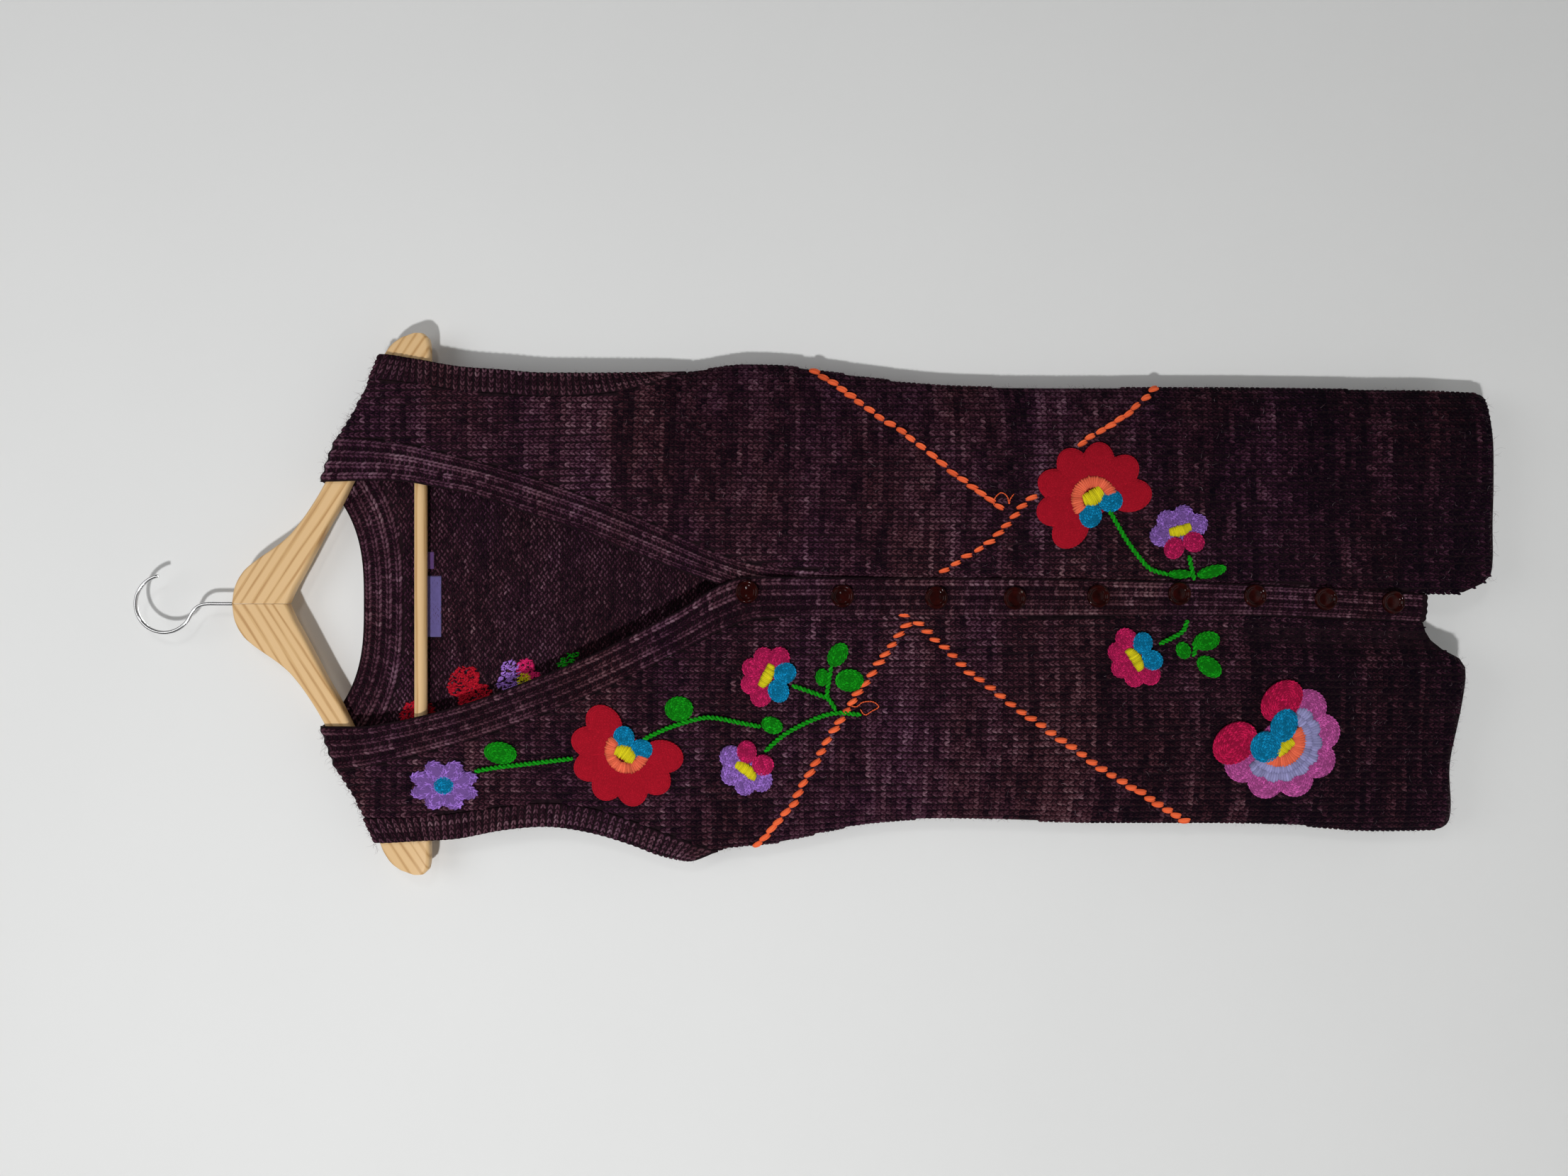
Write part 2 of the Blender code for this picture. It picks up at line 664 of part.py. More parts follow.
def applique(name, face, x, z, reach, sides, height, material_name):
    """A raised patch: reach(angle) is its outline's distance from the middle at x, z."""
    rings = ((0.0, height), (0.55, height), (1.0, APPLIQUE_RIM))
    layers = []
    for lifted in (True, False):
        for share, raised in rings[1:]:
            layer = []
            for i in range(sides):
                angle = 2 * math.pi * i / sides
                far = share * reach(angle)
                up = APPLIQUE_LIFT + (raised if lifted else 0.0)
                layer.append(cloth_point(face, x + far * math.cos(angle), z + far * math.sin(angle), -up))
            layers.append(layer)
    top = [cloth_point(face, x, z, -APPLIQUE_LIFT - height)]
    base = [cloth_point(face, x, z, -APPLIQUE_LIFT)]
    points = top + layers[0] + layers[1] + layers[3] + layers[2] + base
    faces = []
    for i in range(sides):
        j = (i + 1) % sides
        faces.append([0, 1 + i, 1 + j])
        for k in range(3):
            a, b = 1 + k * sides, 1 + (k + 1) * sides
            faces.append([a + i, b + i, b + j, a + j])
        faces.append([1 + 3 * sides + i, len(points) - 1, 1 + 3 * sides + j])
    return solid(name, points, faces, material_name)


def lobe_reach(angle, lobe_angle, distance, radius):
    """How far a ray from the middle goes before it leaves a round lobe, or 0 where it misses."""
    along = distance * math.cos(angle - lobe_angle)
    aside = distance * math.sin(angle - lobe_angle)
    if abs(aside) >= radius or (along < 0 and distance > radius):
        return 0.0
    return along + math.sqrt(radius * radius - aside * aside)


def flower(row):
    steps = max(1, row["petals"] - 1)
    lobes = [
        (row["first"] + (row["last"] - row["first"]) * i / steps, row["reach"], row["petal"])
        for i in range(row["petals"])
    ]
    if row["lip_reach"]:
        lobes += [(row[key], row["lip_reach"], row["lip"]) for key in ("lip_a", "lip_b")]

    def reach(angle):
        # An angle is measured as the viewer of that face sees it, so the back's is mirrored.
        seen = angle if row["face"] == FRONT else math.pi - angle
        far = max(lobe_reach(seen, math.radians(a), d, r) for a, d, r in lobes)
        far = max(far, 0.55 * row["reach"])
        return far * math.hypot(math.cos(angle), row["stretch"] * math.sin(angle))

    kind = FLOWER_MATERIAL[row["name"].split("_")[0]]
    applique(row["name"], row["face"], row["x"], row["z"], reach, FLOWER_SIDES, FLOWER_HEIGHT, kind)


def leaf(row):
    lean = math.radians(row["lean"])

    def reach(angle):
        along, aside = math.sin(angle - lean), math.cos(angle - lean)
        return 1 / math.hypot(along / row["half_length"], aside / row["half_width"])

    applique(row["name"], row["face"], row["x"], row["z"], reach, LEAF_SIDES, LEAF_HEIGHT, "green_wool")


def label(row):
    """A blank woven label, sewn inside the back below its neck band."""
    step = (row["right"] - row["left"]) / LABEL_STEPS
    across = [row["left"] + i * step for i in range(LABEL_STEPS + 1)]
    plan = [[(x, z) for x in across] for z in (row["top"], row["bottom"])]
    outer = cloth_layer(BACK, plan, WALL + GAP)
    inner = cloth_layer(BACK, plan, WALL + GAP + LABEL_THICK)
    walled(row["name"], outer, inner, "label_violet")


def turned(name, profile, sides, material_name):
    """A body of revolution about Z: profile is (radius, height), and a Screw turns it."""
    mesh = bpy.data.meshes.new(name)
    points = [(r * MM, 0.0, h * MM) for r, h in profile]
    mesh.from_pydata(points, [(i, i + 1) for i in range(len(points) - 1)], [])
    obj = bpy.data.objects.new(name, mesh)
    bpy.context.scene.collection.objects.link(obj)
    screw = obj.modifiers.new("turn", "SCREW")
    screw.steps = screw.render_steps = sides
    screw.use_merge_vertices = True
    screw.merge_threshold = 0.00001
    return keep(obj, material_name)


def button(index, x, z):
    """A round button with a raised rim, standing on the right button band."""
    radius, thick = BUTTON_RADIUS, BUTTON_THICK
    profile = (
        (0.0, thick * 0.62),
        (radius * 0.62, thick * 0.55),
        (radius * 0.78, thick),
        (radius * 0.93, thick * 0.95),
        (radius, thick * 0.6),
        (radius * 0.8, 0.0),
        (0.0, 0.0),
    )
    obj = turned(f"button_{index}", profile, 14, "button_brown")
    under = [
        cloth_point(FRONT, x + dx, z + dz, -RIB_RAISE - LAP_OUT)[1]
        for dx in (-radius, 0, radius)
        for dz in (-radius, 0, radius)
    ]
    obj.location = (x * MM, (min(under) - GAP) * MM, z * MM)
    obj.rotation_euler = (math.radians(90), 0.0, 0.0)


# ---------------------------------------------------------------- hanger


def arm_ring(x, top, bottom):
    """A flat plank's section with rounded edges."""
    half, edge = ARM_THICK / 2, ARM_EDGE_ROUND
    edge = min(edge, (top - bottom) / 2.2)
    ring = []
    for cy, cz, start in (
        (half - edge, top - edge, 0),
        (-half + edge, top - edge, 90),
        (-half + edge, bottom + edge, 180),
        (half - edge, bottom + edge, 270),
    ):
        for turn in (0, 45, 90):
            a = math.radians(start + turn)
            ring.append((x, cy + edge * math.cos(a), cz + edge * math.sin(a)))
    return ring


def hanger_arm(name, side):
    rings = [arm_ring(side * row["x"], row["top"], row["bottom"]) for row in rows_of(ARM, ARM_COLUMNS)]
    lofted(name, rings, "pine")


def trouser_bar():
    bpy.ops.mesh.primitive_cylinder_add(
        vertices=16,
        radius=BAR_RADIUS * MM,
        depth=2 * BAR_HALF * MM,
        location=(0, 0, BAR_Z * MM),
        rotation=(0, math.radians(90), 0),
    )
    obj = bpy.context.object
    obj.name = obj.data.name = "hanger_bar"
    keep(obj, "pine")


def hook():
    """Round wire: a straight shaft, a soft bend out to the left, and an open round hook."""
    centre_z = -(HOOK_RADIUS - WIRE_RADIUS)
    points = [(0.0, SHAFT_BOTTOM), (0.0, (SHAFT_BOTTOM + SHAFT_TOP) / 2), (0.0, SHAFT_TOP)]
    points += [(-1.2, SHAFT_TOP + 6.0), (-5.0, SHAFT_TOP + 11.5)]
    for i in range(HOOK_POINTS):
        a = math.radians(HOOK_FROM + (HOOK_TO - HOOK_FROM) * i / (HOOK_POINTS - 1))
        points.append((HOOK_RADIUS * math.cos(a), centre_z + HOOK_RADIUS * math.sin(a)))
    curve = bpy.data.curves.new("hook", "CURVE")
    curve.dimensions = "3D"
    curve.bevel_depth = WIRE_RADIUS * MM
    curve.bevel_resolution = 2
    curve.use_fill_caps = True
    spline = curve.splines.new("POLY")
    spline.points.add(len(points) - 1)
    for point, (x, z) in zip(spline.points, points):
        point.co = (x * MM, 0.0, z * MM, 1.0)
    obj = bpy.data.objects.new("hook", curve)
    bpy.context.scene.collection.objects.link(obj)
    keep(obj, "steel_wire")


# ---------------------------------------------------------------- the whole


def main():
    for obj in list(bpy.data.objects):
        bpy.data.objects.remove(obj)
    bpy.context.scene.collection.children.link(bpy.data.collections.new(COLLECTION))

    right_plan, left_plan, rear_plan = front_plan("left"), front_plan("right"), back_plan()
    panel("front_right", FRONT, right_plan)
    panel("front_left", FRONT, left_plan)
    panel("back", BACK, rear_plan)
    front_band("band_right", "left", right_plan)
    front_band("band_left", "right", left_plan)
    back_neck_band(rear_plan)
    arm_band("arm_band_right_front", FRONT, "left", right_plan)
    arm_band("arm_band_right_back", BACK, "left", rear_plan)
    arm_band("arm_band_left_front", FRONT, "right", left_plan)
    arm_band("arm_band_left_back", BACK, "right", rear_plan)

    for row in rows_of(FLOWERS, FLOWER_COLUMNS):
        flower(row)
    for row in rows_of(LEAVES, LEAF_COLUMNS):
        leaf(row)
    for row in rows_of(LABELS, LABEL_COLUMNS):
        label(row)
    for index, (x, z) in enumerate(BUTTON_X_Z, start=1):
        button(index, x, z)

    hanger_arm("hanger_arm_right", -1)
    hanger_arm("hanger_arm_left", 1)
    trouser_bar()
    hook()


main()
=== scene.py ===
"""The looks of a long knitted folk waistcoat, embroidered with flowers, on a wooden hanger.

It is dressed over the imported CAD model, in the same frame: the origin is inside the top of the
hanger's hook, +Z is up and the fronts face -Y. Tables and named sizes are in millimetres. A piece
named right is the wearer's right, while a side of the cloth called left is at -X, on the same side.
"""

import math

import bpy
import numpy as np
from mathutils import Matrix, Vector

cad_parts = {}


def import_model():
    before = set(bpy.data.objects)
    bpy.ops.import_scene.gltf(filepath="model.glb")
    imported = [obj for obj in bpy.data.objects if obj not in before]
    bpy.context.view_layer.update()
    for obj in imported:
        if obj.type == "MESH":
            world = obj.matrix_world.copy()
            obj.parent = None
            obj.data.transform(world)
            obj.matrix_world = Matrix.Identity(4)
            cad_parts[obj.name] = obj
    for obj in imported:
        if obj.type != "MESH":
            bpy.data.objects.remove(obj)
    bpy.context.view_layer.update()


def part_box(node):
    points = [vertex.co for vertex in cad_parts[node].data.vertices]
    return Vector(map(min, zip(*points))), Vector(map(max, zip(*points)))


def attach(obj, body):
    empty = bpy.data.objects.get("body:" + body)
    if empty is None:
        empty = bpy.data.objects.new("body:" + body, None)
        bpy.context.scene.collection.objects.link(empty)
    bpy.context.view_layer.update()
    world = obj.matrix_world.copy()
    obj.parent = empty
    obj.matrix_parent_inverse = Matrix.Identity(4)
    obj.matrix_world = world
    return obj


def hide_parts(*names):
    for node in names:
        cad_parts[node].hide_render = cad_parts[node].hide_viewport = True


MM = 0.001
FRONT, BACK = -1, 1  # the sign of Y on each side of the garment
SIDE_WAY = {"left": -1, "right": 1}  # the sign of X on each side
RNG = np.random.default_rng(7)

# ---- the garment's sizes, as in the CAD

GAP = 0.3
WALL = 3.0
RIB_RAISE = 1.3
BAND_RIBS = 4
ARM_RIB_PITCH = 5.9
LAP_OUT, LAP_IN = 1.5, 3.6
LAP_FROM, LAP_FULL = -395, -466
BAND_TOP, BAND_END = -152, -1049
EDGE_LEAD = 12  # where the neck slopes, a band's edge is so much higher than the seam across from it
LEAD_FROM, LEAD_TO = (-155, -230), (-440, -505)
SHOULDER_ROUND = 11
OPEN_EDGE = 11
SIDE_POWER = 6  # the cloth is flat across its middle and turns round at its sides
NECK_SEAM_X, NECK_EDGE_X = 137, 100
PLAN_TOP = -166
OUTLINE_COLUMNS = "z left right front back edge"
OUTLINE = (
    (-150, -194.5, 203.5, 11, 11, 11), (-200, -194.5, 203.5, 11, 11, 11),
    (-232, -193, 199.4, 11.4, 11.4, 10.7), (-266, -191, 193.6, 12.4, 12.4, 10.2),
    (-301, -184.5, 191, 13.7, 13.4, 9.6), (-336, -181.5, 188.5, 15, 14.2, 9),
    (-371, -186, 188.5, 16, 15, 8.4), (-406, -196.5, 189, 17, 15.5, 6.5),
    (-430, -206, 189.5, 17.5, 16, 3.6), (-455, -211, 191, 18, 16, 0), (-476, -203.5, 194.5, 18, 16, 0),
    (-500, -199.5, 197.8, 18, 16, 0), (-528, -196.5, 196.5, 18, 16, 0), (-563, -188.5, 192, 18, 16, 0),
    (-598, -181.5, 187, 18, 16, 0), (-633, -178, 182.5, 18, 16, 0), (-668, -177, 179.5, 18, 16, 0),
    (-790, -180, 178, 18.5, 16, 0), (-877, -180, 178, 19, 16, 0), (-947, -182, 177.3, 19.5, 16.5, 0),
    (-1017, -187.3, 176.3, 20, 17, 0), (-1052, -186.8, 176, 20, 17, 0), (-1087, -185, 174, 20, 17, 0),
    (-1110, -184, 173, 20, 17, 0),
)  # fmt: skip
SHOULDER = ((0, -104), (98, -151), (135, -165), (152, -175.5), (171, -185.5), (190, -194.5), (206, -201))
BAND_COLUMNS = "z edge seam"
BANDS_AT_SIDE = {
    "left": (
        (BAND_TOP, -100, -137), (-182, -100.3, -134.5), (-215, -96, -127.5), (-242, -90, -120.5),
        (-274, -81, -111.5), (-323, -63, -94.5), (-368, -45, -77), (-413, -23, -56), (-449, -4, -38),
        (-478, 14, -23), (-502, 21.5, -14), (-530, 21.7, -11.5), (-600, 21, -10.5), (-780, 19.5, -10),
        (-900, 15.8, -9.5), (-980, 12, -12), (BAND_END, 7.5, -15),
    ),
    "right": (
        (BAND_TOP, 100, 137), (-182, 101, 135.5), (-225, 99.6, 130.5), (-250, 95, 124.5),
        (-275, 90.5, 118.5), (-300, 82.5, 111.5), (-323, 74, 104.5), (-368, 59, 89), (-404, 44, 75),
        (-445, 29, 57), (-477, 17.5, 42), (-502, 8, 34), (-530, 1, 30), (-600, -4, 26), (-780, -6.5, 23.5),
        (-900, -7, 19.5), (-980, -9, 14.5), (BAND_END, -11.5, 9.5),
    ),
}  # fmt: skip
BACK_NECK_EDGE, BACK_NECK_SEAM = -183, -216
BACK_NECK_POWER = 3
ARM_SEAM_COLUMNS = "seam_z seam_x edge_z"
ARM_SEAM = {
    "left": (
        (-187, -174.5, -199), (-247, -172, -249), (-303, -164.5, -301), (-338, -161.5, -336),
        (-377, -166, -371), (-413, -177.5, -406), (-438, -187.5, -430), (-456, -194.5, -443),
        (-478, -202.8, -455),
    ),
    "right": (
        (-191.4, 183.5, -199), (-231.5, 179.5, -232), (-265.5, 173.8, -266), (-301.5, 171, -301),
        (-337, 168.6, -336), (-374, 170, -371), (-401, 173.5, -395), (-425, 180, -415),
        (-452, 190.5, -430),
    ),
}  # fmt: skip
HEMS = {  # x and z
    "left": (
        (-188, -1066), (-178, -1073), (-133, -1070), (-78, -1078), (-50, -1080), (-42, -1075), (-36, -1065),
        (-28, -1058), (-15, -1049),
    ),
    "right": ((8, -1074), (12, -1086), (17, -1095), (25, -1102), (60, -1104), (168, -1103), (175, -1100)),
    "back": ((-188, -1065), (-60, -1062), (0, -1063), (60, -1071), (120, -1088), (175, -1098)),
}  # fmt: skip
FOLDS = (  # face, x and z at the top, x and z at the foot, half width and depth
    (FRONT, -16, -740, -29, -1080, 13, 12), (FRONT, -62, -860, -60, -1080, 20, -2.5),
    (FRONT, -128, -840, -138, -1075, 24, 2.2), (FRONT, 70, -880, 62, -1105, 24, 1.8),
    (FRONT, 128, -820, 134, -1105, 22, -1.6), (BACK, -96, -700, -108, -1065, 26, 2.6),
    (BACK, -20, -760, -16, -1065, 24, -2.2), (BACK, 74, -680, 82, -1075, 28, 3),
    (BACK, 138, -860, 136, -1095, 18, -1.8),
)  # fmt: skip
BUTTONS, BUTTON_RADIUS, BUTTON_THICK = 9, 9.25, 3.4

# ---- curves


def smooth_curve(key, value):
    """A smooth curve through value over key, which never swings past its points."""
    steps = np.diff(value) / np.diff(key)
    least = np.minimum(np.append(np.inf, np.abs(steps)), np.append(np.abs(steps), np.inf))
    slope = np.clip(np.gradient(value, key), -3 * least, 3 * least)
    slope[1:-1][steps[:-1] * steps[1:] <= 0] = 0.0

    def at(where):
        where = np.clip(where, key[0], key[-1])
        i = np.clip(np.searchsorted(key, where) - 1, 0, len(key) - 2)
        width = key[i + 1] - key[i]
        t = (where - key[i]) / width
        rise = value[i + 1] - value[i]
        low, high = slope[i] * width - rise, -slope[i + 1] * width + rise
        return value[i] + t * rise + t * (1 - t) * ((1 - t) * low + t * high)

    return at


def curves(rows, columns="x z"):
    """A smooth curve through each column of a table, over its first column."""
    data = np.array(sorted(rows), float).T
    return {name: smooth_curve(data[0], column) for name, column in zip(columns.split()[1:], data[1:])}


def blend(low, high, at):
    """0 before low, 1 after high, and a soft step between them."""
    t = np.clip((at - low) / (high - low), 0.0, 1.0)
    return t * t * (3 - 2 * t)


def evenly(step, x, z, *lines):
    """The lines at an even step along the line x, z, and at the end how far along it each point is."""
    run = np.append(0, np.cumsum(np.hypot(np.diff(x), np.diff(z))))
    wanted = np.linspace(0, run[-1], round(run[-1] / step) + 1)
    return *(np.interp(wanted, run, line) for line in lines), wanted


def turned(angle, a, b):
    return a * np.cos(angle) - b * np.sin(angle), a * np.sin(angle) + b * np.cos(angle)


def circle(count):
    return 2 * math.pi * np.arange(count) / count


def tones(mean, spread, count):
    return np.clip(RNG.normal(mean, spread, count), 0, 1)


OUTLINE_AT = curves(OUTLINE, OUTLINE_COLUMNS)
SHOULDER_AT = curves(SHOULDER)["z"]
BAND_AT = {side: curves(rows, BAND_COLUMNS) for side, rows in BANDS_AT_SIDE.items()}
HEM_AT = {side: curves(rows)["z"] for side, rows in HEMS.items()}
ARM_SEAM_AT = {side: curves(rows, ARM_SEAM_COLUMNS)["seam_x"] for side, rows in ARM_SEAM.items()}
ARM_END = {side: rows[-1][0] for side, rows in ARM_SEAM.items()}


def shoulder_z(x):
    return SHOULDER_AT(np.abs(x))


def back_neck_z(x, lowest, corner_x):
    rise = shoulder_z(corner_x) - lowest
    return lowest + rise * np.minimum(1.0, np.abs(x) / corner_x) ** BACK_NECK_POWER


def side_limit(side, z):
    """The x where a panel ends: at the armhole band's seam, and below it at the side seam."""
    return np.where(z <= ARM_END[side], OUTLINE_AT[side](z), ARM_SEAM_AT[side](z))


def fold_depth(face, x, z):
    total = np.zeros_like(x)
    for fold_face, top_x, top_z, low_x, low_z, half_width, depth in FOLDS:
        if fold_face == face:
            share = np.clip((top_z - z) / (top_z - low_z), 0.0, 1.0)
            middle = top_x + share * (low_x - top_x)
            total += depth * blend(0, 1, share) * np.exp(-(((x - middle) / half_width) ** 2))
    return total


def cloth(face, x, z, inward=0.0):
    """The points over x, z on the front or back cloth, moved inward from its outer face."""
    x, z, inward = (np.array(v, float) for v in np.broadcast_arrays(x, z, inward))
    left, right, edge = (OUTLINE_AT[name](z) for name in ("left", "right", "edge"))
    depth = OUTLINE_AT["front" if face == FRONT else "back"](z)
    middle, half = (left + right) / 2, (right - left) / 2
    openness = np.minimum(1.0, edge / OPEN_EDGE)
    across = np.clip((x - middle) / half, -1.0, 1.0)
    side_round = np.sqrt(1 - np.abs(across) ** SIDE_POWER)
    at_edge = np.maximum(GAP / 2, edge - inward * openness)
    out = at_edge + (depth - inward - at_edge) * side_round - fold_depth(face, x, z) * side_round
    drop = np.clip((shoulder_z(x) - z) / SHOULDER_ROUND, 0.0, 1.0)
    out = np.maximum(GAP / 2, out * (1 - (1 - drop) ** 3) ** (1 / 3))
    moved_x = middle + across * (half - inward * (1 - openness))
    return np.stack([moved_x, face * out, z - inward * (1 - drop)], axis=-1)


class Weave:
    """Where a knitted piece lies: x, z and depth, in even steps along its wales and across them."""

    def __init__(self, face, x, z, inward, start, step, inner=False):
        self.face, self.grids = face, np.stack(np.broadcast_arrays(x, z, inward), axis=-1)
        self.start, self.step = start, step
        self.lift_way, self.outward = (1, -face) if inner else (-1, face)

    def lookup(self, along, across):
        i, j = (along - self.start[0]) / self.step[0], (across - self.start[1]) / self.step[1]
        low_i = np.clip(np.floor(i).astype(int), 0, self.grids.shape[0] - 2)
        low_j = np.clip(np.floor(j).astype(int), 0, self.grids.shape[1] - 2)
        i, j = (i - low_i)[..., None], (j - low_j)[..., None]
        near = self.grids[low_i, low_j] * (1 - j) + self.grids[low_i, low_j + 1] * j
        far = self.grids[low_i + 1, low_j] * (1 - j) + self.grids[low_i + 1, low_j + 1] * j
        return near * (1 - i) + far * i

    def at(self, along, across, lift):
        x, z, inward = np.moveaxis(self.lookup(along, across), -1, 0)
        return cloth(self.face, x, z, inward + self.lift_way * lift)


# ---- pieces

FINISHES = {}
TURNED = [0, 3, 2, 1]  # a face's corners the other way round
# SHADE is painted shade: every strand is coloured darker towards its root and sides than on its crest
SHADE = 0.38  # how much darker a strand is at its root than on its crest
SKIRT = 1.6  # how far a petal's or leaf's cushion goes on into the cloth


def put(name, data):
    """A new object in the scene."""
    obj = bpy.data.objects.new(name, data)
    bpy.context.scene.collection.objects.link(obj)
    return obj


class Piece:
    """The points and faces of one piece of the scene, and at, the surface its stitches are laid on."""

    def __init__(self, name, finish, at=None, outward=FRONT):
        self.name, self.finish, self.at, self.outward = name, finish, at, outward
        self.points, self.faces, self.tones, self.count = [], [], [], 0

    def add(self, points, faces, tone=0.5, outward=0):
        """Adds groups of faces, all turned round if the last group faces away from outward, along Y."""
        points = np.reshape(points, (-1, 3))
        a, b, c = (points[faces[-1][:, k]] for k in range(3))
        way = -1 if np.cross(b - a, c - a)[:, 1].sum() * outward < 0 else 1
        self.points.append(points)
        self.tones.append(np.broadcast_to(tone, len(points)))
        self.faces += [(group[:, ::way] + self.count).tolist() for group in faces]
        self.count += len(points)

    def build(self, replaces=None, smooth_angle=None):
        mesh = bpy.data.meshes.new(self.name)
        faces = [face for group in self.faces for face in group]
        mesh.from_pydata(np.concatenate(self.points) * MM, [], faces)
        mesh.attributes.new("tone", "FLOAT", "POINT").data.foreach_set("value", np.concatenate(self.tones))
        mesh.shade_smooth()
        if smooth_angle:
            mesh.set_sharp_from_angle(angle=math.radians(smooth_angle))
        mesh.materials.append(FINISHES[self.finish])
        obj = put(self.name, mesh)
        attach(obj, "root")
        if replaces:
            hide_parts(replaces)
        return obj


def grid_faces(rows, columns, around=False):
    """The faces between rows of points, which may each close on itself."""
    i, j = np.mgrid[: rows - 1, : columns if around else columns - 1]
    low, high, k = i * columns, (i + 1) * columns, (j + 1) % columns
    return np.stack([low + j, low + k, high + k, high + j], axis=-1).reshape(-1, 4)


def hub_faces(rings, sides):
    """The faces of one point with rings of points round it."""
    ring = 1 + np.arange(sides)
    hub = np.stack([0 * ring, ring, 1 + ring % sides], axis=1)
    return [hub, 1 + grid_faces(rings, sides, True)[:, TURNED]]


def strand_template(rings, points):
    """One short raised strand, 1 long, 1 wide and 1 high: (u, v, height) and its faces."""
    rows = [(-0.5, 0.0, 0.1)]
    for turn in math.pi * np.arange(1, rings + 1) / (rings + 1):
        size = np.sin(turn)
        for side in math.pi * np.arange(points) / (points - 1):
            rows.append((-0.5 * np.cos(turn), -0.5 * np.cos(side) * size, np.sin(side) * size))
    rows.append((0.5, 0.0, 0.1))
    last, p = len(rows) - 1, np.arange(1, points)
    near = np.stack([0 * p, p + 1, p], axis=1)
    far = np.stack([p + last - points - 1, p + last - points, 0 * p + last], axis=1)
    return np.array(rows), [near, far, 1 + grid_faces(rings, points)]


def strands(piece, along, across, angle, length, width, height, tone, sink, rings=2, points=3, shade=SHADE):
    """Many strands on the piece's surface, at(along, across, lift); angle turns along to across."""
    template, faces = strand_template(rings, points)
    columns = np.broadcast_arrays(along, across, angle, length, width, height, tone, sink)
    along, across, angle, length, width, height, tone, sink = (np.ravel(c)[:, None] for c in columns)
    u, v, up = template.T
    u, v = turned(angle, u * length, v * width)
    found = piece.at(along + u, across + v, up * height - sink)
    start = np.arange(len(found))[:, None, None] * len(template)
    whole = [(start + group).reshape(-1, group.shape[1]) for group in faces]
    # painted shade: the tone is darkened from the strand's crest towards its root and sides, by shade at most
    light = np.clip(tone - shade * (1 - np.clip(up, 0, 1)) ** 1.5, 0, 1)
    piece.add(found, whole, light.ravel(), piece.outward)


def dome(piece, half_a, half_b, tone, rings=4, sides=22):
    """A smooth elliptical cushion under the stitches of a petal or leaf, open below."""
    turn = circle(sides)
    share = np.linspace(0, 1, rings + 1)[1:, None]
    a, b = half_a * np.cos(turn), half_b * np.sin(turn)
    crest = piece.at(np.append(0, share * a), np.append(0, share * b), 0.0)
    points = np.concatenate([crest, piece.at(a, b, -SKIRT)])
    piece.add(points, hub_faces(rings + 1, sides), tone, piece.outward)


def chain_rows(piece, half_a, half_b, pitch, link, height=0.9, spread=0.3, shade=SHADE):
    """Concentric rows of chain stitch, from the rim of an ellipse to its middle."""
    for r in range(max(1, int(min(half_a, half_b) / pitch + 0.35))):
        a, b = (max(half - pitch * (r + 0.45), 0.6) for half in (half_a, half_b))
        around = math.pi * (3 * (a + b) - math.sqrt((3 * a + b) * (a + 3 * b)))
        links = max(4, round(around / link))
        turn = 2 * math.pi * (np.arange(links) + RNG.random()) / links
        heading = np.arctan2(b * np.cos(turn), -a * np.sin(turn))
        tone = tones(0.55, 0.4 * shade, links)
        for way in (-1, 1):
            off = way * pitch * 0.17
            along, across, angle = (a + off) * np.cos(turn), (b + off) * np.sin(turn), heading + way * spread
            # painted shade: the inner strand of each row is painted darker and the outer one lighter, by a
            # share of shade
            light = np.clip(tone + way * 0.16 * shade, 0, 1)
            strands(piece, along, across, angle, link * 1.3, pitch * 0.5, height, light, 0.15, shade=shade)


def tube(piece, centres, side, face, radius, tone=0.5, points=6):
    """A round tube along centres, where side and the Y axis are square to it at each."""
    turn = circle(points)[:, None]
    ring = side[:, None] * np.cos(turn) + np.array([0.0, face, 0.0]) * np.sin(turn)
    made = centres[:, None] + ring * radius[:, None, None]
    first = np.arange(points)
    caps = np.stack([first[::-1], (len(centres) - 1) * points + first])
    quads = grid_faces(len(centres), points, True)[:, TURNED]
    piece.add(made, [quads[:, ::face], caps[:, ::face]], tone)


def smooth_path(points, step):
    """Even steps along a smooth curve through (x, z): x, z, the way square to it, and its length."""
    points = np.array(points, float)
    padded = np.vstack([2 * points[0] - points[1], points, 2 * points[-1] - points[-2]])
    t = np.linspace(0, 1, 12, endpoint=False)[:, None]
    found = []
    for p0, p1, p2, p3 in zip(padded, padded[1:], padded[2:], padded[3:]):
        square, cube = 2 * p0 - 5 * p1 + 4 * p2 - p3, 3 * p1 - p0 - 3 * p2 + p3
        found.append((2 * p1 + (p2 - p0) * t + square * t**2 + cube * t**3) / 2)
    x, z = np.vstack([*found, points[-1]]).T
    x, z, run = evenly(step, x, z, x, z)
    side = np.stack([-np.gradient(z), 0 * z, np.gradient(x)], axis=1)
    return x, z, side / np.linalg.norm(side, axis=1)[:, None], run


def rope(piece, face, path, width=4.1, pitch=7.0, lift=1.6):
    """A stem of two twisted strands of wool, couched along a path of (x, z) on the cloth."""
    x, z, side, run = smooth_path(path, 0.9)
    taper = np.clip(np.minimum(run, run[-1] - run) / 2.5 + 0.45, 0.45, 1.0)
    for strand in (0, 1):
        turn = 2 * math.pi * (run / pitch + strand / 2)[:, None]
        away = width / 4 * (side * np.cos(turn) + np.array([0.0, face, 0.0]) * np.sin(turn))
        middle = cloth(face, x, z, -lift) + away * taper[:, None]
        tube(piece, middle, side, face, width / 3.6 * taper, 0.5 + 0.12 * math.cos(3 * strand))


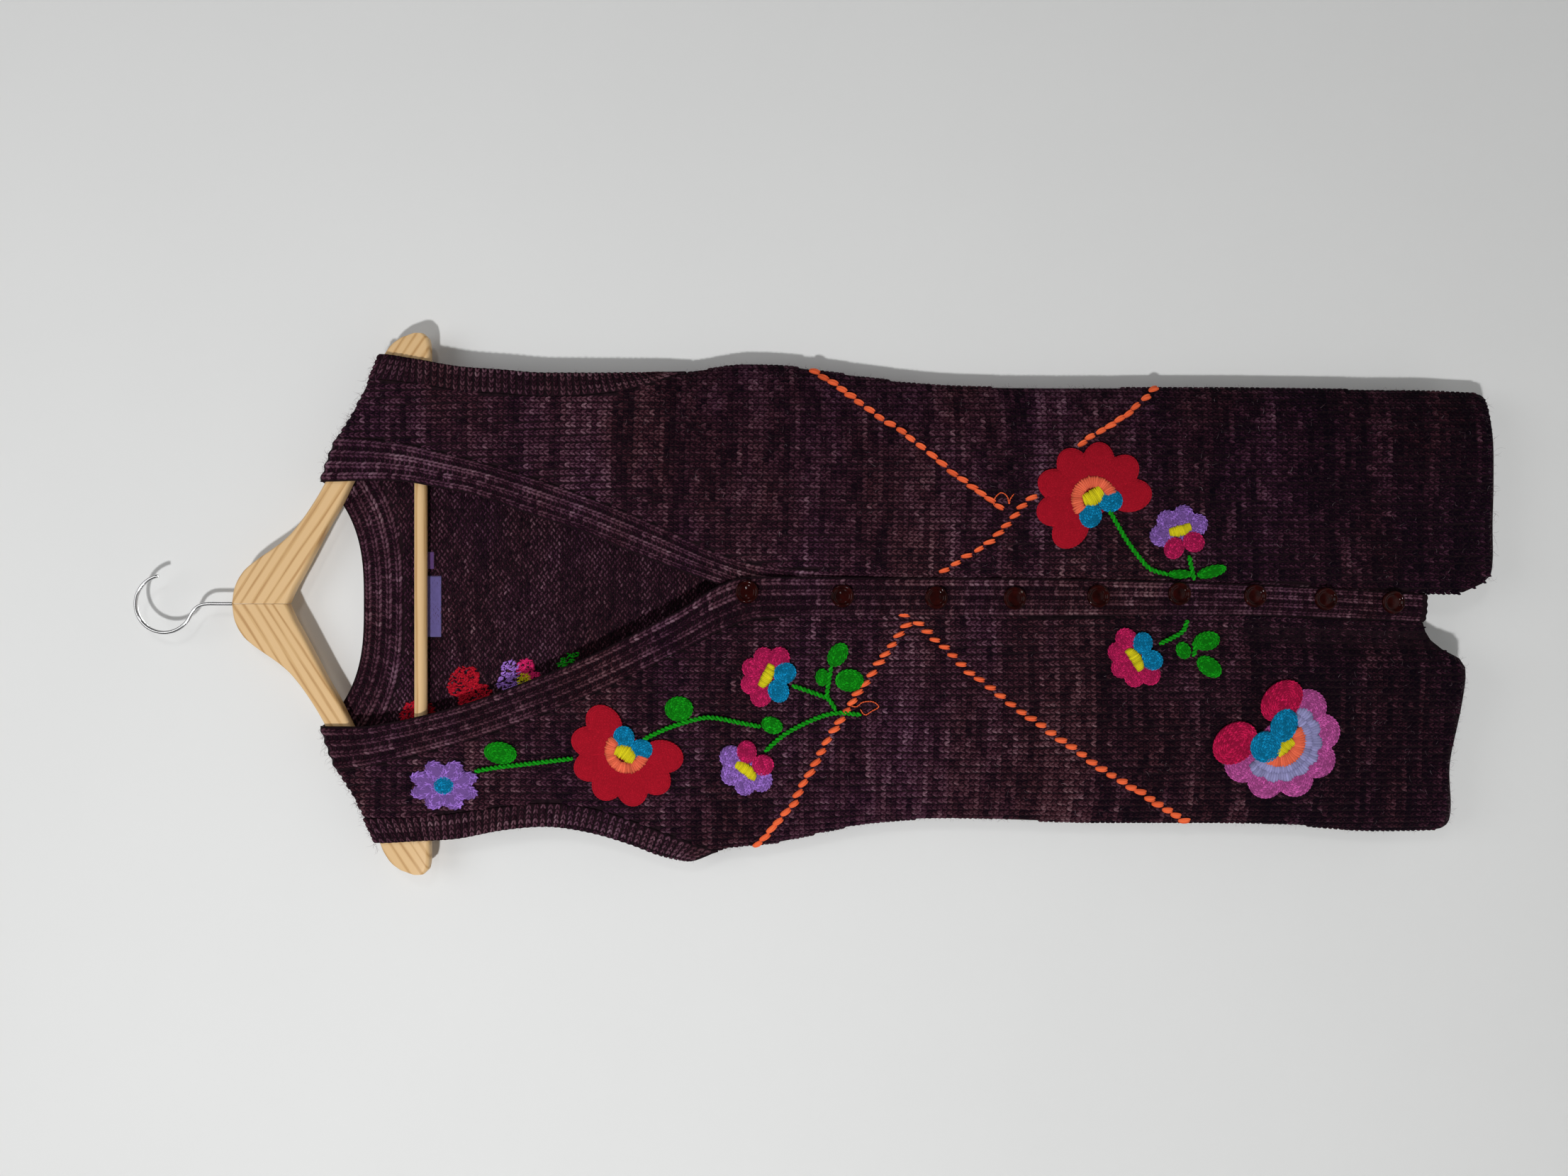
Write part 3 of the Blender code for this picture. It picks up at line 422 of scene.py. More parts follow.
def hairs(piece, along, across, length, lift, width, tone):
    """Loose fibres that stand off the wool: bent ribbons, thinner towards their ends."""
    count, steps = len(along), 5
    turn = RNG.uniform(0, 2 * math.pi, count)
    heading = turn + RNG.normal(0, 2.6, count) * np.arange(1, steps)[:, None] / steps
    stride = length * RNG.uniform(0.5, 1.3, count) / (steps - 1)
    a = np.cumsum(np.vstack([along, np.cos(heading) * stride]), axis=0).T
    b = np.cumsum(np.vstack([across, np.sin(heading) * stride]), axis=0).T
    share = np.linspace(0, 1, steps)
    up = lift * np.sin(share * math.pi * 0.62) * RNG.uniform(0.4, 1.0, (count, 1))
    da, db = np.gradient(a, axis=1), np.gradient(b, axis=1)
    half = width / 2 * (1 - 0.8 * share) / (np.hypot(da, db) + 1e-6)
    made = np.stack([piece.at(a - half * way * db, b + half * way * da, up) for way in (1, -1)], axis=2)
    quads = np.arange(count)[:, None, None] * 2 * steps + grid_faces(steps, 2)
    light = np.repeat(tones(tone, 0.15, count), 2 * steps)
    piece.add(made, [quads.reshape(-1, 4)], light, piece.outward)


def shell(piece, face, x, z, outer, inner):
    """A closed wall between two depths in the cloth over x, z."""
    points = np.stack([cloth(face, x, z, outer), cloth(face, x, z, inner)])
    rows, columns = points.shape[1:3]
    index = np.arange(rows * columns).reshape(rows, columns)
    border = np.concatenate([index[0, :-1], index[:-1, -1], index[-1, :0:-1], index[:0:-1, 0]])
    after = np.roll(border, -1)
    rim = np.stack([after, border, border + index.size, after + index.size], axis=1)
    quads = grid_faces(rows, columns)
    piece.add(points, [rim, quads[:, ::-1] + index.size, quads], 0.2, face)


# ---- finishes


class Finish:
    """A node material: its shader, and short ways to feed it."""

    def __init__(self, name, **sockets):
        FINISHES[name] = bpy.data.materials.new(name)
        FINISHES[name].use_nodes = True
        self.tree = FINISHES[name].node_tree
        self.shader = self.tree.nodes["Principled BSDF"]
        self.feed(self.shader, **sockets)
        self.where = self.node("TexCoord").outputs["Object"]

    def feed(self, node, *values, **sockets):
        """Gives a value or a link to each of a node's sockets, by its place or its name."""
        for key, value in [*enumerate(values), *sockets.items()]:
            socket = node.inputs[key if key in range(len(values)) else key.replace("_", " ")]
            if isinstance(value, bpy.types.NodeSocket):
                self.tree.links.new(value, socket)
            else:
                socket.default_value = value
        return node

    def node(self, kind, *values, setting=None, **sockets):
        """A new node, with a (name, value) of its own set before its sockets are fed."""
        made = self.tree.nodes.new("ShaderNode" + kind)
        if setting:
            setattr(made, *setting)
        return self.feed(made, *values, **sockets)

    def mapped(self, source=None, **sockets):
        return self.node("Mapping", source or self.where, **sockets).outputs[0]

    def noise(self, scale, detail=3.0, vector=None, roughness=0.55):
        vector = vector or self.where
        return self.node("TexNoise", vector, Scale=scale, Detail=detail, Roughness=roughness).outputs["Fac"]

    def wave(self, scale, direction, vector=None, **sockets):
        setting = ("bands_direction", direction)
        return self.node("TexWave", vector or self.where, scale, setting=setting, **sockets).outputs["Fac"]

    def sum(self, first, second, weight=1.0, offset=0.0):
        """first + weight * second + offset"""
        made = self.node("Math", second, weight, first, setting=("operation", "MULTIPLY_ADD"))
        if offset:
            made = self.node("Math", made.outputs[0], offset)
        return made.outputs[0]

    def colour(self, source, *stops):
        """Stops are (place, (r, g, b)), in linear light."""
        ramp = self.node("ValToRGB", source)
        elements = ramp.color_ramp.elements
        for element, (position, value) in zip(elements, (stops[0], stops[-1])):
            element.position, element.color = position, (*value, 1.0)
        for position, value in stops[1:-1]:
            elements.new(position).color = (*value, 1.0)
        self.feed(self.shader, Base_Color=ramp.outputs["Color"])

    def drift(self, source):
        """Turns the base colour towards navy where source is low."""
        shift = self.node("MapRange", source, From_Min=0.36, From_Max=0.62, To_Min=0.46, To_Max=0.51)
        base = self.shader.inputs["Base Color"].links[0].from_socket
        turned_to = self.node("HueSaturation", Hue=shift.outputs["Result"], Color=base)
        self.feed(self.shader, Base_Color=turned_to.outputs["Color"])

    def bump(self, source, distance, strength):
        made = self.node("Bump", Distance=distance, Strength=strength, Height=source)
        self.feed(self.shader, Normal=made.outputs["Normal"])


def shades(colour, dark=0.45, light=1.5):
    """Three stops of one colour, from its shade to its light."""
    stops = ((0.15, dark), (0.55, 1), (0.95, light))
    return [(place, tuple(min(1, channel * times) for channel in colour)) for place, times in stops]


def wool(name, stops, fibre=0.35, dyed_unevenly=False):
    """Woollen yarn: tones from the stitches, and fine fibres in its colour and relief."""
    finish = Finish(name, Roughness=0.92, Sheen_Weight=0.02, Sheen_Roughness=0.5, Specular_IOR_Level=0.04)
    tone = finish.node("Attribute", setting=("attribute_name", "tone")).outputs["Fac"]
    finish.colour(finish.sum(tone, finish.noise(900, 4), fibre, -fibre / 2), *stops)
    if dyed_unevenly:
        finish.drift(finish.noise(11, 4, finish.mapped(Scale=(0.4, 1, 1)), 0.7))
    finish.bump(finish.noise(1600), 0.0004, 0.5)


PLUM_STOPS = (
    (0, (0.003, 0.0013, 0.004)), (0.25, (0.009, 0.0025, 0.006)), (0.5, (0.043, 0.012, 0.020)),
    (0.75, (0.106, 0.045, 0.061)), (1, (0.250, 0.145, 0.165)),
)  # fmt: skip
RIB_STOPS = (
    (0, (0.005, 0.0015, 0.004)), (0.25, (0.017, 0.004, 0.008)), (0.5, (0.067, 0.024, 0.035)),
    (0.75, (0.138, 0.066, 0.083)), (1, (0.260, 0.165, 0.185)),
)  # fmt: skip
WOOLS = {
    "violet": (0.36, 0.175, 0.62), "red": (0.42, 0.008, 0.022), "pink": (0.60, 0.018, 0.125),
    "crimson": (0.60, 0.012, 0.085), "orchid": (0.60, 0.11, 0.40), "lilac": (0.25, 0.24, 0.44),
    "salmon": (0.74, 0.13, 0.065), "orange": (0.84, 0.125, 0.042), "yellow": (0.60, 0.52, 0.012),
    "blue": (0.006, 0.28, 0.54), "green": (0.009, 0.33, 0.010),
}  # fmt: skip


def make_finishes():
    for name, colour in WOOLS.items():
        wool(f"wool_{name}", shades(colour))
    wool("plum_yarn", PLUM_STOPS, fibre=0.95, dyed_unevenly=True)
    wool("rib_yarn", RIB_STOPS, fibre=0.85, dyed_unevenly=True)
    ground("shaded_plum_ground", (0.005, 0.0025, 0.004), (0.020, 0.008, 0.012))
    wool("fibre", ((0.0, (0.04, 0.02, 0.03)), (0.6, (0.22, 0.15, 0.18)), (1.0, (0.5, 0.42, 0.45))))
    woven("label", (0.135, 0.105, 0.32))
    woven("tab", (0.12, 0.045, 0.20))
    for name, slope in (("pine_right", 33), ("pine_left", -33), ("pine_bar", 0)):
        pine(name, math.radians(slope))
    steel("steel")
    resin("resin")


def ground(name, dark, light):
    """The inner side of the knit in the gaps between its stitches: plum yarn, coloured near black as painted
    shade in those gaps.
    """
    finish = Finish(name, Roughness=1.0, Specular_IOR_Level=0.1)
    finish.colour(finish.noise(260, 5), (0.3, dark), (0.75, light))
    finish.bump(finish.noise(420, 4), 0.001, 0.8)


def woven(name, colour):
    """A narrow ribbon, woven with fine threads."""
    finish = Finish(name, Roughness=0.6, Sheen_Weight=0.2)
    threads = finish.sum(finish.wave(1400, "X"), finish.wave(1400, "Z"), 0.7)
    finish.colour(finish.sum(threads, finish.noise(300), 0.8, -0.5), *shades(colour, 0.6, 1.4))
    finish.bump(threads, 0.0003, 0.5)


def pine(name, slope):
    """Pale lacquered pine, with its grain along the plank and a little figure in it."""
    finish = Finish(name, Roughness=0.5, Coat_Weight=0.1, Coat_Roughness=0.3, Specular_IOR_Level=0.25)
    along = finish.mapped(Rotation=(0, slope, 0))
    stretched = finish.mapped(along, Scale=(0.09, 1, 1))
    bands = finish.wave(42, "Z", stretched, Distortion=5.0, Detail_Scale=1.2)
    grain = finish.noise(900, 5, finish.mapped(along, Scale=(0.03, 1, 1)))
    stops = ((0.06, (0.52, 0.29, 0.115)), (0.24, (0.67, 0.42, 0.185)), (0.55, (0.75, 0.50, 0.25)))
    finish.colour(finish.sum(bands, grain, 0.7, -0.25), *stops)
    finish.bump(grain, 0.0002, 0.25)


def steel(name):
    finish = Finish(name, Roughness=0.16, Metallic=1.0)
    finish.colour(finish.noise(60), (0.3, (0.50, 0.50, 0.50)), (0.7, (0.66, 0.66, 0.67)))
    finish.bump(finish.noise(700, vector=finish.mapped(Scale=(1, 1, 0.1))), 0.0001, 0.2)


def resin(name):
    """Dark brown translucent resin, cloudy within and polished outside."""
    finish = Finish(name, Roughness=0.06, Specular_IOR_Level=0.15)
    finish.colour(finish.noise(160, 2), (0.3, (0.009, 0.0009, 0.0008)), (0.75, (0.030, 0.0028, 0.0022)))


# ---- the knitted cloth

GROUND_DEPTH = 0.9  # the ground lies this far below the CAD's face, and the stitches stand on it
COLUMN, ROW, RIB_ROW = 5.4, 4.2, 4.0
# A stitch's width and height, how far it is raised, how far off its middle its legs are, and its sink.
BODY_STITCH = (COLUMN, ROW, 1.35, 0.2 * COLUMN, GROUND_DEPTH + 0.05)
RIB_STITCH = (7.4, RIB_ROW, 1.0, 1.62, 0.6)
ARM_STITCH = (4.6, 3.9, 0.95, 1.05, 0.6)
LEG_SLANT = math.radians(22)
# The plan of a panel: how far its rows are below its top, and its columns' shares of its width.
PLAN_DROPS = np.append([0, 0.3, 1, 2.2, 4, 6.5, 9], np.linspace(SHOULDER_ROUND, 924, 132))[:, None]
FRONT_SHARES = np.concatenate([np.linspace(0, 0.8, 20), np.linspace(0.83, 0.97, 7), [0.982, 0.992, 1]])
SIDE_SHARES = np.append(np.linspace(0.12, 0.72, 6), [0.8, 0.87, 0.93, 0.97, 0.985, 1])
BACK_SHARES = np.concatenate([-SIDE_SHARES[::-1], np.zeros(45), SIDE_SHARES])
BACK_STARTS = NECK_SEAM_X * np.sin(np.linspace(-math.pi / 2, math.pi / 2, 45))
BACK_STARTS = np.pad(BACK_STARTS, len(SIDE_SHARES), "edge")
JOIN_FROM, JOIN_TO = SHOULDER_ROUND, 39.5  # in this drop a band's rings turn from the shoulder's to its own
BAND_WIDTH = 37  # a neck band's nominal width, over which its ribs are spread
ARM_BAND_WIDTH, ARM_STITCHES = 20, 5
WEAVE_START, WEAVE_END, WEAVE_STEPS = (145, -222), (1118, 222), (2.5, 1.35)
PAST_MIDDLE = 25  # a front's weave goes on so far past the garment's middle
BAND_LIFT, BAND_GROUND = 0.2, 0.55  # a band's stitches stand on its ground, a little off the CAD's face
BAND_WALL = WALL - 0.4
HEM_DARKER, DARK_FROM, DARK_TO = 0.22, 780, 1040  # the stitches' tone is made a little darker towards the hem
SIDE_CLEAR, HEM_CLEAR, END_CLEAR = 0.2, 1.8, 1.4  # how far stitches stay off a panel's sides and hem
REVERSE_TO, REVERSE_PAST = 545, 40  # the reverse of the knit is stitched where the neck shows it
FIBRES_EACH = 7  # one stitch in so many has a loose fibre
PANELS = (  # name, face, side, where its wales are counted from, the arms it is on, width and length
    ("front_right", FRONT, "left", -75, ("right",), 0.205, 0.925),
    ("front_left", FRONT, "right", 85, ("left",), 0.215, 0.935),
    ("back", BACK, "back", 0, ("right", "left"), 0.435, 0.925),
)
BANDS = (  # name, face, side, the arm it is on, width and length
    ("band_right", FRONT, "left", "right", 0.037, 0.965),
    ("band_left", FRONT, "right", "left", 0.037, 0.965),
    ("band_neck_back", BACK, "back", "left", 0.036, 0.30),
    ("arm_band_right_front", FRONT, "left", "right", 0.0215, 0.29),
    ("arm_band_right_back", BACK, "left", "right", 0.0215, 0.29),
    ("arm_band_left_front", FRONT, "right", "left", 0.0215, 0.29),
    ("arm_band_left_back", BACK, "right", "left", 0.0215, 0.29),
)


def panel_plan(side):
    """x and z over a body panel, out from its neck to its sides and down from its top to its hem."""
    back = side == "back"
    share, start = (BACK_SHARES, BACK_STARTS) if back else (FRONT_SHARES, None)
    down = PLAN_DROPS / PLAN_DROPS[-1]
    mix = blend(0.0, 0.3, down)
    z = PLAN_TOP - PLAN_DROPS + 0 * share
    for _ in range(12):
        if back:
            limit = np.where(share < 0, side_limit("left", z), side_limit("right", z))
        else:
            start, limit = BAND_AT[side]["seam"](z) + SIDE_WAY[side] * GAP / 2, side_limit(side, z)
        x = start + np.abs(share) * (limit - start)
        neck = back_neck_z(x, BACK_NECK_SEAM, NECK_SEAM_X) - GAP / 2
        top = np.where((share == 0) & back, neck, shoulder_z(x))
        z = top - (PLAN_DROPS * (1 - mix) + down * (top - HEM_AT[side](x)) * mix)
    return x, z


def body_weave(face, side, middle_x):
    """A panel's weave, whose wales keep their spacing over the surface, and its ends in each row."""
    z = -np.arange(WEAVE_START[0], WEAVE_END[0], WEAVE_STEPS[0])[:, None]
    spans = np.arange(WEAVE_START[1], WEAVE_END[1], WEAVE_STEPS[1])
    past = 0 * z + PAST_MIDDLE
    left = -past if side == "right" else OUTLINE_AT["left"](z)
    right = past if side == "left" else OUTLINE_AT["right"](z)
    x = left + (right - left) * np.linspace(0, 1, 500)
    steps = np.linalg.norm(np.diff(cloth(face, x, z)[..., :2], axis=1), axis=2)
    run = np.cumsum(np.pad(steps, ((0, 0), (1, 0))), axis=1)
    run -= np.array([np.interp(middle_x, *row) for row in zip(x, run)])[:, None]
    table = np.array([np.interp(spans, *row) for row in zip(run, x)])
    return Weave(face, table, z, 0.0, WEAVE_START, WEAVE_STEPS), run[:, [0, -1]]


def dyed(rows, across, width):
    """How light the yarn is at each stitch: it changes slowly along the yarn, which runs to and fro."""
    on_yarn = rows * width + np.where(rows % 2 == 0, across, width - across)
    tone = np.full(np.shape(across), 0.6)
    for length, weight in ((1900, 0.07), (230, 0.09), (52, 0.13), (12, 0.11)):
        knots = RNG.uniform(-1, 1, int(on_yarn.max() / length) + 4)
        step = on_yarn / length + 1
        low = np.floor(step).astype(int)
        share = blend(0, 1, step - low)
        tone += weight * (knots[low] * (1 - share) + knots[low + 1] * share)
    return np.clip(tone + RNG.normal(0, 0.07, np.shape(across)), 0, 1)


def knit(piece, weave, along, across, tone, stitch):
    """Stocking stitch: each stitch is two strands that lean together at its top."""
    width, height, raised, offset, sink = stitch
    piece.at, piece.outward, count = weave.at, weave.outward, len(along)
    across = across + RNG.normal(0, 0.12, count)
    along = along + RNG.normal(0, 0.12, count)
    for way in (-1, 1):
        slant = way * (LEG_SLANT + RNG.normal(0, 0.05, count))
        high = raised * RNG.uniform(0.9, 1.1, count)
        # painted light: one leg of each stitch is painted a little lighter than the other, as if lit from its
        # side
        light = np.clip(tone - way * 0.05 + RNG.normal(0, 0.05, count), 0, 1)
        strands(piece, along, across + way * offset, slant, height * 1.34, width * 0.47, high, light, sink)


def inside(side, x, z):
    """True where a stitch of a panel is clear of its seams and its hem."""
    clear = z > HEM_AT[side](x) + HEM_CLEAR
    for end, way in SIDE_WAY.items():
        if side in (end, "back"):
            clear &= (way * (side_limit(end, z) - x) > SIDE_CLEAR) | (z < ARM_END[end])
    if side == "back":
        top = np.where(np.abs(x) < NECK_SEAM_X, back_neck_z(x, BACK_NECK_SEAM, NECK_SEAM_X), shoulder_z(x))
        return clear & (z < top - 0.6)
    return clear & (SIDE_WAY[side] * (x - BAND_AT[side]["seam"](z)) > -0.6) & (z < shoulder_z(x) - 1.2)


def body_stitches(side, weave, ends):
    """Row numbers and places of the stitches of a body panel."""
    rows, columns = (grid.ravel() for grid in np.mgrid[34:266, -41:42])
    along = rows * ROW
    across = columns * COLUMN + 0.9 * np.sin(along / 61 + columns / 7) + 0.5 * np.sin(along / 23 + columns)
    along = along + 0.9 * np.sin(columns / 6 + along / 90)
    depths = WEAVE_START[0] + WEAVE_STEPS[0] * np.arange(len(ends))
    low, high = (np.interp(along, depths, end) for end in ends.T)
    found = weave.lookup(along, across)
    keep = inside(side, found[..., 0], found[..., 1])
    keep &= (across > low + END_CLEAR) & (across < high - END_CLEAR)
    return rows[keep], along[keep], across[keep]


def ground_wall(name, face, x, z, outer, inner):
    """The ground of a panel or band: a thin wall with the CAD's cut, just under its stitches, in near-black
    painted shade.
    """
    piece = Piece(f"{name}_ground", "shaded_plum_ground")
    shell(piece, face, x, z, outer, inner)
    return piece.build(name)


def joined(x, z, edge_x, edge_z):
    """How far a band's rings have turned to their own way, and the height of its edge with that."""
    drop = shoulder_z(x) - z
    mix = np.clip((drop - JOIN_FROM) / (JOIN_TO - JOIN_FROM), 0, 1)
    return mix, (shoulder_z(edge_x) - drop) * (1 - mix) + edge_z * mix


def neck_band_tables(side):
    """x, z and lap over a neck band, in even steps along it and by shares of its width."""
    if side == "back":
        x = NECK_SEAM_X * np.sin(np.linspace(-math.pi / 2, math.pi / 2, 900))
        z = back_neck_z(x, BACK_NECK_SEAM, NECK_SEAM_X) - 2 * GAP
        edge_x = x * NECK_EDGE_X / NECK_SEAM_X
        edge_z = back_neck_z(edge_x, BACK_NECK_EDGE, NECK_EDGE_X)
        step, way, lap = 3, 0, 0
    else:
        step, way, lap = 4, SIDE_WAY[side], LAP_IN if side == "right" else -LAP_OUT
        z = np.linspace(shoulder_z(NECK_SEAM_X), BAND_END, 1500)
        x = BAND_AT[side]["seam"](z) + way * GAP / 2
        raised = z + EDGE_LEAD * blend(*LEAD_FROM, z) * (1 - blend(*LEAD_TO, z))
        top_x = BAND_AT[side]["edge"](BAND_TOP)
        mix, edge_z = joined(x, z, top_x, raised)
        edge_x = top_x * (1 - mix) + BAND_AT[side]["edge"](raised) * mix
    *lines, run = evenly(step, (x + edge_x) / 2, (z + edge_z) / 2, x, z, edge_x, edge_z)
    x, z, edge_x, edge_z = (line[:, None] for line in lines)
    share = np.linspace(0, 1, 6 * BAND_RIBS + 1)
    lap = lap * blend(LAP_FROM, LAP_FULL, z) * blend(0.0, 0.12, share)
    return x - way * GAP + share * (edge_x - x), z + share * (edge_z - z), lap, share, run


def ribbed_band(name, face, side):
    """A band with ribs along it, each rib a column of stitches that stands out."""
    x, z, lap, share, run = neck_band_tables(side)
    both_faces = side == "back"
    crest = RIB_RAISE * np.sin(BAND_RIBS * math.pi * share) ** 2
    outer_in, inner_in = lap - BAND_LIFT - crest, BAND_WALL + lap + crest * both_faces
    band = ground_wall(name, face, x, z, outer_in + BAND_GROUND, inner_in - 0.5 * both_faces)
    steps = (run[1], BAND_WIDTH / (len(share) - 1))
    weaves = [Weave(face, x, z, outer_in, (0, 0), steps)]
    if both_faces:
        weaves.append(Weave(face, x, z, inner_in, (0, 0), steps, inner=True))
    stitches = Piece(f"{name}_stitches", "rib_yarn")
    rows, pitch = np.arange(1, int(run[-1] / RIB_ROW)), BAND_WIDTH / BAND_RIBS
    for weave in weaves:
        for rib in range(BAND_RIBS):
            along = rows * RIB_ROW + RNG.uniform(-0.5, 0.5)
            across = np.full(len(rows), (rib + 0.5) * pitch)
            tone = dyed(rows, across, 9 + rib)
            knit(stitches, weave, along, across, tone, RIB_STITCH)
            if rib < BAND_RIBS - 1:
                # painted shade: the strands in the valley between two ribs are painted darker than the ribs
                low = np.clip(tone - 0.24, 0, 1)
                turn = RNG.normal(1.25, 0.15, len(rows))
                strands(stitches, along, across + pitch / 2, turn, 3.8, 2.6, 0.8, low, 0.5)
    return band, stitches.build()


def arm_band(name, face, side):
    """Half of an armhole band, with ribs across it."""
    top = ARM_END[side]
    for _ in range(30):
        top = shoulder_z(side_limit(side, top))
    z = np.linspace(top, ARM_END[side], 1200)
    x = side_limit(side, z + 0.001)
    seam_z, _, edge_z = np.array(sorted(ARM_SEAM[side])).T
    edge_z = np.interp(z, seam_z, edge_z)
    tip = OUTLINE_AT[side](edge_z)
    x, z, tip, edge_z, run = evenly(1.2, x, z, x, z, tip, joined(x, z, tip, edge_z)[1])
    share = np.linspace(0.02, 1, 6)[:, None]
    x, z = x + share * (tip - x), z + share * (edge_z - z)
    outer_in = 0 * x - BAND_LIFT - RIB_RAISE * np.sin(math.pi * run / ARM_RIB_PITCH) ** 2
    band = ground_wall(name, face, x, z, outer_in + BAND_GROUND, BAND_WALL)
    weave = Weave(face, x, z, outer_in, (0, 0), (ARM_BAND_WIDTH / (len(share) - 1), run[1]))
    along, across = (grid.ravel() + 0.5 for grid in np.mgrid[:ARM_STITCHES, : int(run[-1] / ARM_RIB_PITCH)])
    along, across = along * ARM_BAND_WIDTH / ARM_STITCHES, across * ARM_RIB_PITCH
    stitches = Piece(f"{name}_stitches", "rib_yarn")
    knit(stitches, weave, along, across, dyed(np.rint(along), across, run[-1]), ARM_STITCH)
    return band, stitches.build()


def bands():
    """The ribbed bands, each a strip of its own that is sewn on."""
    for name, face, side, arm, width, length in BANDS:
        band, stitches = (arm_band if name.startswith("arm") else ribbed_band)(name, face, side)


def surface_area(points):
    a, b, c, d = points[:-1, :-1], points[:-1, 1:], points[1:, 1:], points[1:, :-1]
    return np.linalg.norm(np.cross(c - a, d - b), axis=-1).sum() / 2 * MM * MM


def body():
    """The body's panels: ground, stitches, fibres and, inside the neck, the reverse of the knit."""
    for name, face, side, middle_x, arms, width, length in PANELS:
        x, z = panel_plan(side)
        panel = ground_wall(name, face, x, z, GROUND_DEPTH, WALL)
        weave, ends = body_weave(face, side, middle_x)
        rows, along, across = body_stitches(side, weave, ends)
        shift, row_length = (200, 380) if face == BACK else (110, 190)
        tone = dyed(rows, across + shift, row_length) - HEM_DARKER * blend(DARK_FROM, DARK_TO, along)
        halves = {"_right": across < 0, "_left": across >= 0} if face == BACK else {"": slice(None)}
        for half, chosen in halves.items():
            stitches = Piece(f"{name}_stitches{half}", "plum_yarn")
            knit(stitches, weave, along[chosen], across[chosen], tone[chosen], BODY_STITCH)
            stitches.build()
        body_fibres(f"{name}_fibres", weave, along, across)
        if face == BACK:
            reverse_side(weave, along, across, tone)
        rests, area = [f"hanger_arm_{arm}" for arm in arms], surface_area(cloth(face, x, z))


def reverse_side(weave, along, across, tone):
    """Reverse stocking stitch inside the back: low arcs across each column."""
    x, z, _ = np.moveaxis(weave.grids, -1, 0)
    within = Weave(BACK, x, z, WALL, weave.start, weave.step, inner=True)
    x, z, _ = np.moveaxis(weave.lookup(along, across), -1, 0)
    low, high = (BAND_AT[side]["edge"](z) for side in SIDE_WAY)
    chosen = (along < REVERSE_TO) & (x > low - REVERSE_PAST) & (x < high + REVERSE_PAST)
    along, across, tone = along[chosen], across[chosen], tone[chosen]
    piece, count = Piece("back_reverse", "plum_yarn", within.at), len(along)
    for way in (-1, 1):
        heading = math.radians(90) + way * (0.40 + RNG.normal(0, 0.12, count))
        shifted = along + way * ROW / 4 + RNG.normal(0, 0.25, count)
        beside = across + way * COLUMN / 4 + RNG.normal(0, 0.2, count)
        dusty = np.clip(0.5 + 0.7 * (tone - 0.5) + RNG.normal(0.06, 0.08, count), 0, 1)
        strands(piece, shifted, beside, heading, 4.3, 2.6, 1.4, dusty, 0.15)
    return piece.build()


def body_fibres(name, weave, along, across):
    """Loose fibres over a panel."""
    piece = Piece(name, "fibre", weave.at, weave.outward)
    chosen = RNG.choice(len(along), len(along) // FIBRES_EACH, replace=False)
    hairs(piece, along[chosen], across[chosen], 4.0, 1.1, 0.15, 0.45)
    return piece.build()


def edge_fibres():
    """Loose fibres round the garment's outline, where they show against what is behind."""
    piece = Piece("edge_fibres", "fibre")

    def fringe(side, x, z, count, length):
        def at(along, across, lift):
            nearest = np.clip(-along, HEM_AT[side](across) + 1.0, shoulder_z(across) - 0.5)
            depth = cloth(FRONT, across, nearest, 1.0)[..., 1]
            return np.stack([across, depth - 0.6 * lift, -along], axis=-1)

        piece.at, pick = at, RNG.integers(0, len(x), count)
        hairs(piece, -z[pick] + RNG.normal(0, 1, count), x[pick], length, 2.0, 0.16, 0.3)

    for side, way in SIDE_WAY.items():
        z = np.linspace(-205, -1060, 900)
        fringe(side, OUTLINE_AT[side](z) - 0.6 * way, z, 480, 3.2)
        x = way * np.linspace(102, 200, 300)
        fringe(side, x, shoulder_z(x) - 0.6, 240, 5)
        fringe(side, x, shoulder_z(x) - 0.6, 30, 9)
    for side, low, high in (("left", -182, -40), ("right", 20, 170)):
        x = np.linspace(low, high, 300)
        fringe(side, x, HEM_AT[side](x) + 1, 150, 5)
        fringe(side, x, HEM_AT[side](x) + 1, 10, 13)
    piece.build()


# ---- embroidery

PATCH_RIM = 1.4  # the CAD's patches stand so far off the cloth at their rim
FLOWER_COLUMNS = "name face x z petals first last reach petal lip_a lip_b lip_reach lip stretch colour heart"
FLOWERS = [
    dict(zip(FLOWER_COLUMNS.split(), row))
    for row in (
        ("violet_star", FRONT, -147, -256, 8, 22.5, 337.5, 14, 7, 0, 0, 0, 0, 1.38, "violet", "disc"),
        ("rose_right", FRONT, -118, -405, 7, 40, 261, 33.5, 11.5, 12, 277, 13, 9, 1.02, "red", "sun"),
        ("violet_fan_right", FRONT, -128, -504, 4, 70, 216, 17, 8.2, 12, 270, 12.5, 8.5, 1, "violet", "half"),
        ("pink_fan_right", FRONT, -59, -522, 5, -20, 148, 18, 8, 208, 292, 13, 9, 1, "pink", "half"),
        ("pink_fan_low", FRONT, -41, -818, 5, 39, 209, 18, 8, -14, 251, 12, 8.5, 1, "pink", "half"),
        ("orchid_fan", FRONT, -108, -930, 6, 126, 319, 36, 12.5, 0, 0, 0, 0, 1.03, "orchid", "tiers"),
        ("rose_left", FRONT, 83, -781, 7, -82, 142, 35, 11.5, 168, 266, 15, 9.5, 1.02, "red", "sun"),
        ("violet_fan_left", FRONT, 54, -851, 4, -54, 87, 17, 8, 150, 245, 13, 8.5, 1, "violet", "half"),
        ("rose_back", BACK, -86, -252, 7, 215, 436, 29, 10.5, 168, 243, 12, 9, 1, "red", "sun"),
        ("violet_fan_back", BACK, -64, -316, 4, -20, 128, 15, 7.5, 185, 272, 12, 7.5, 1, "violet", "half"),
    )
]
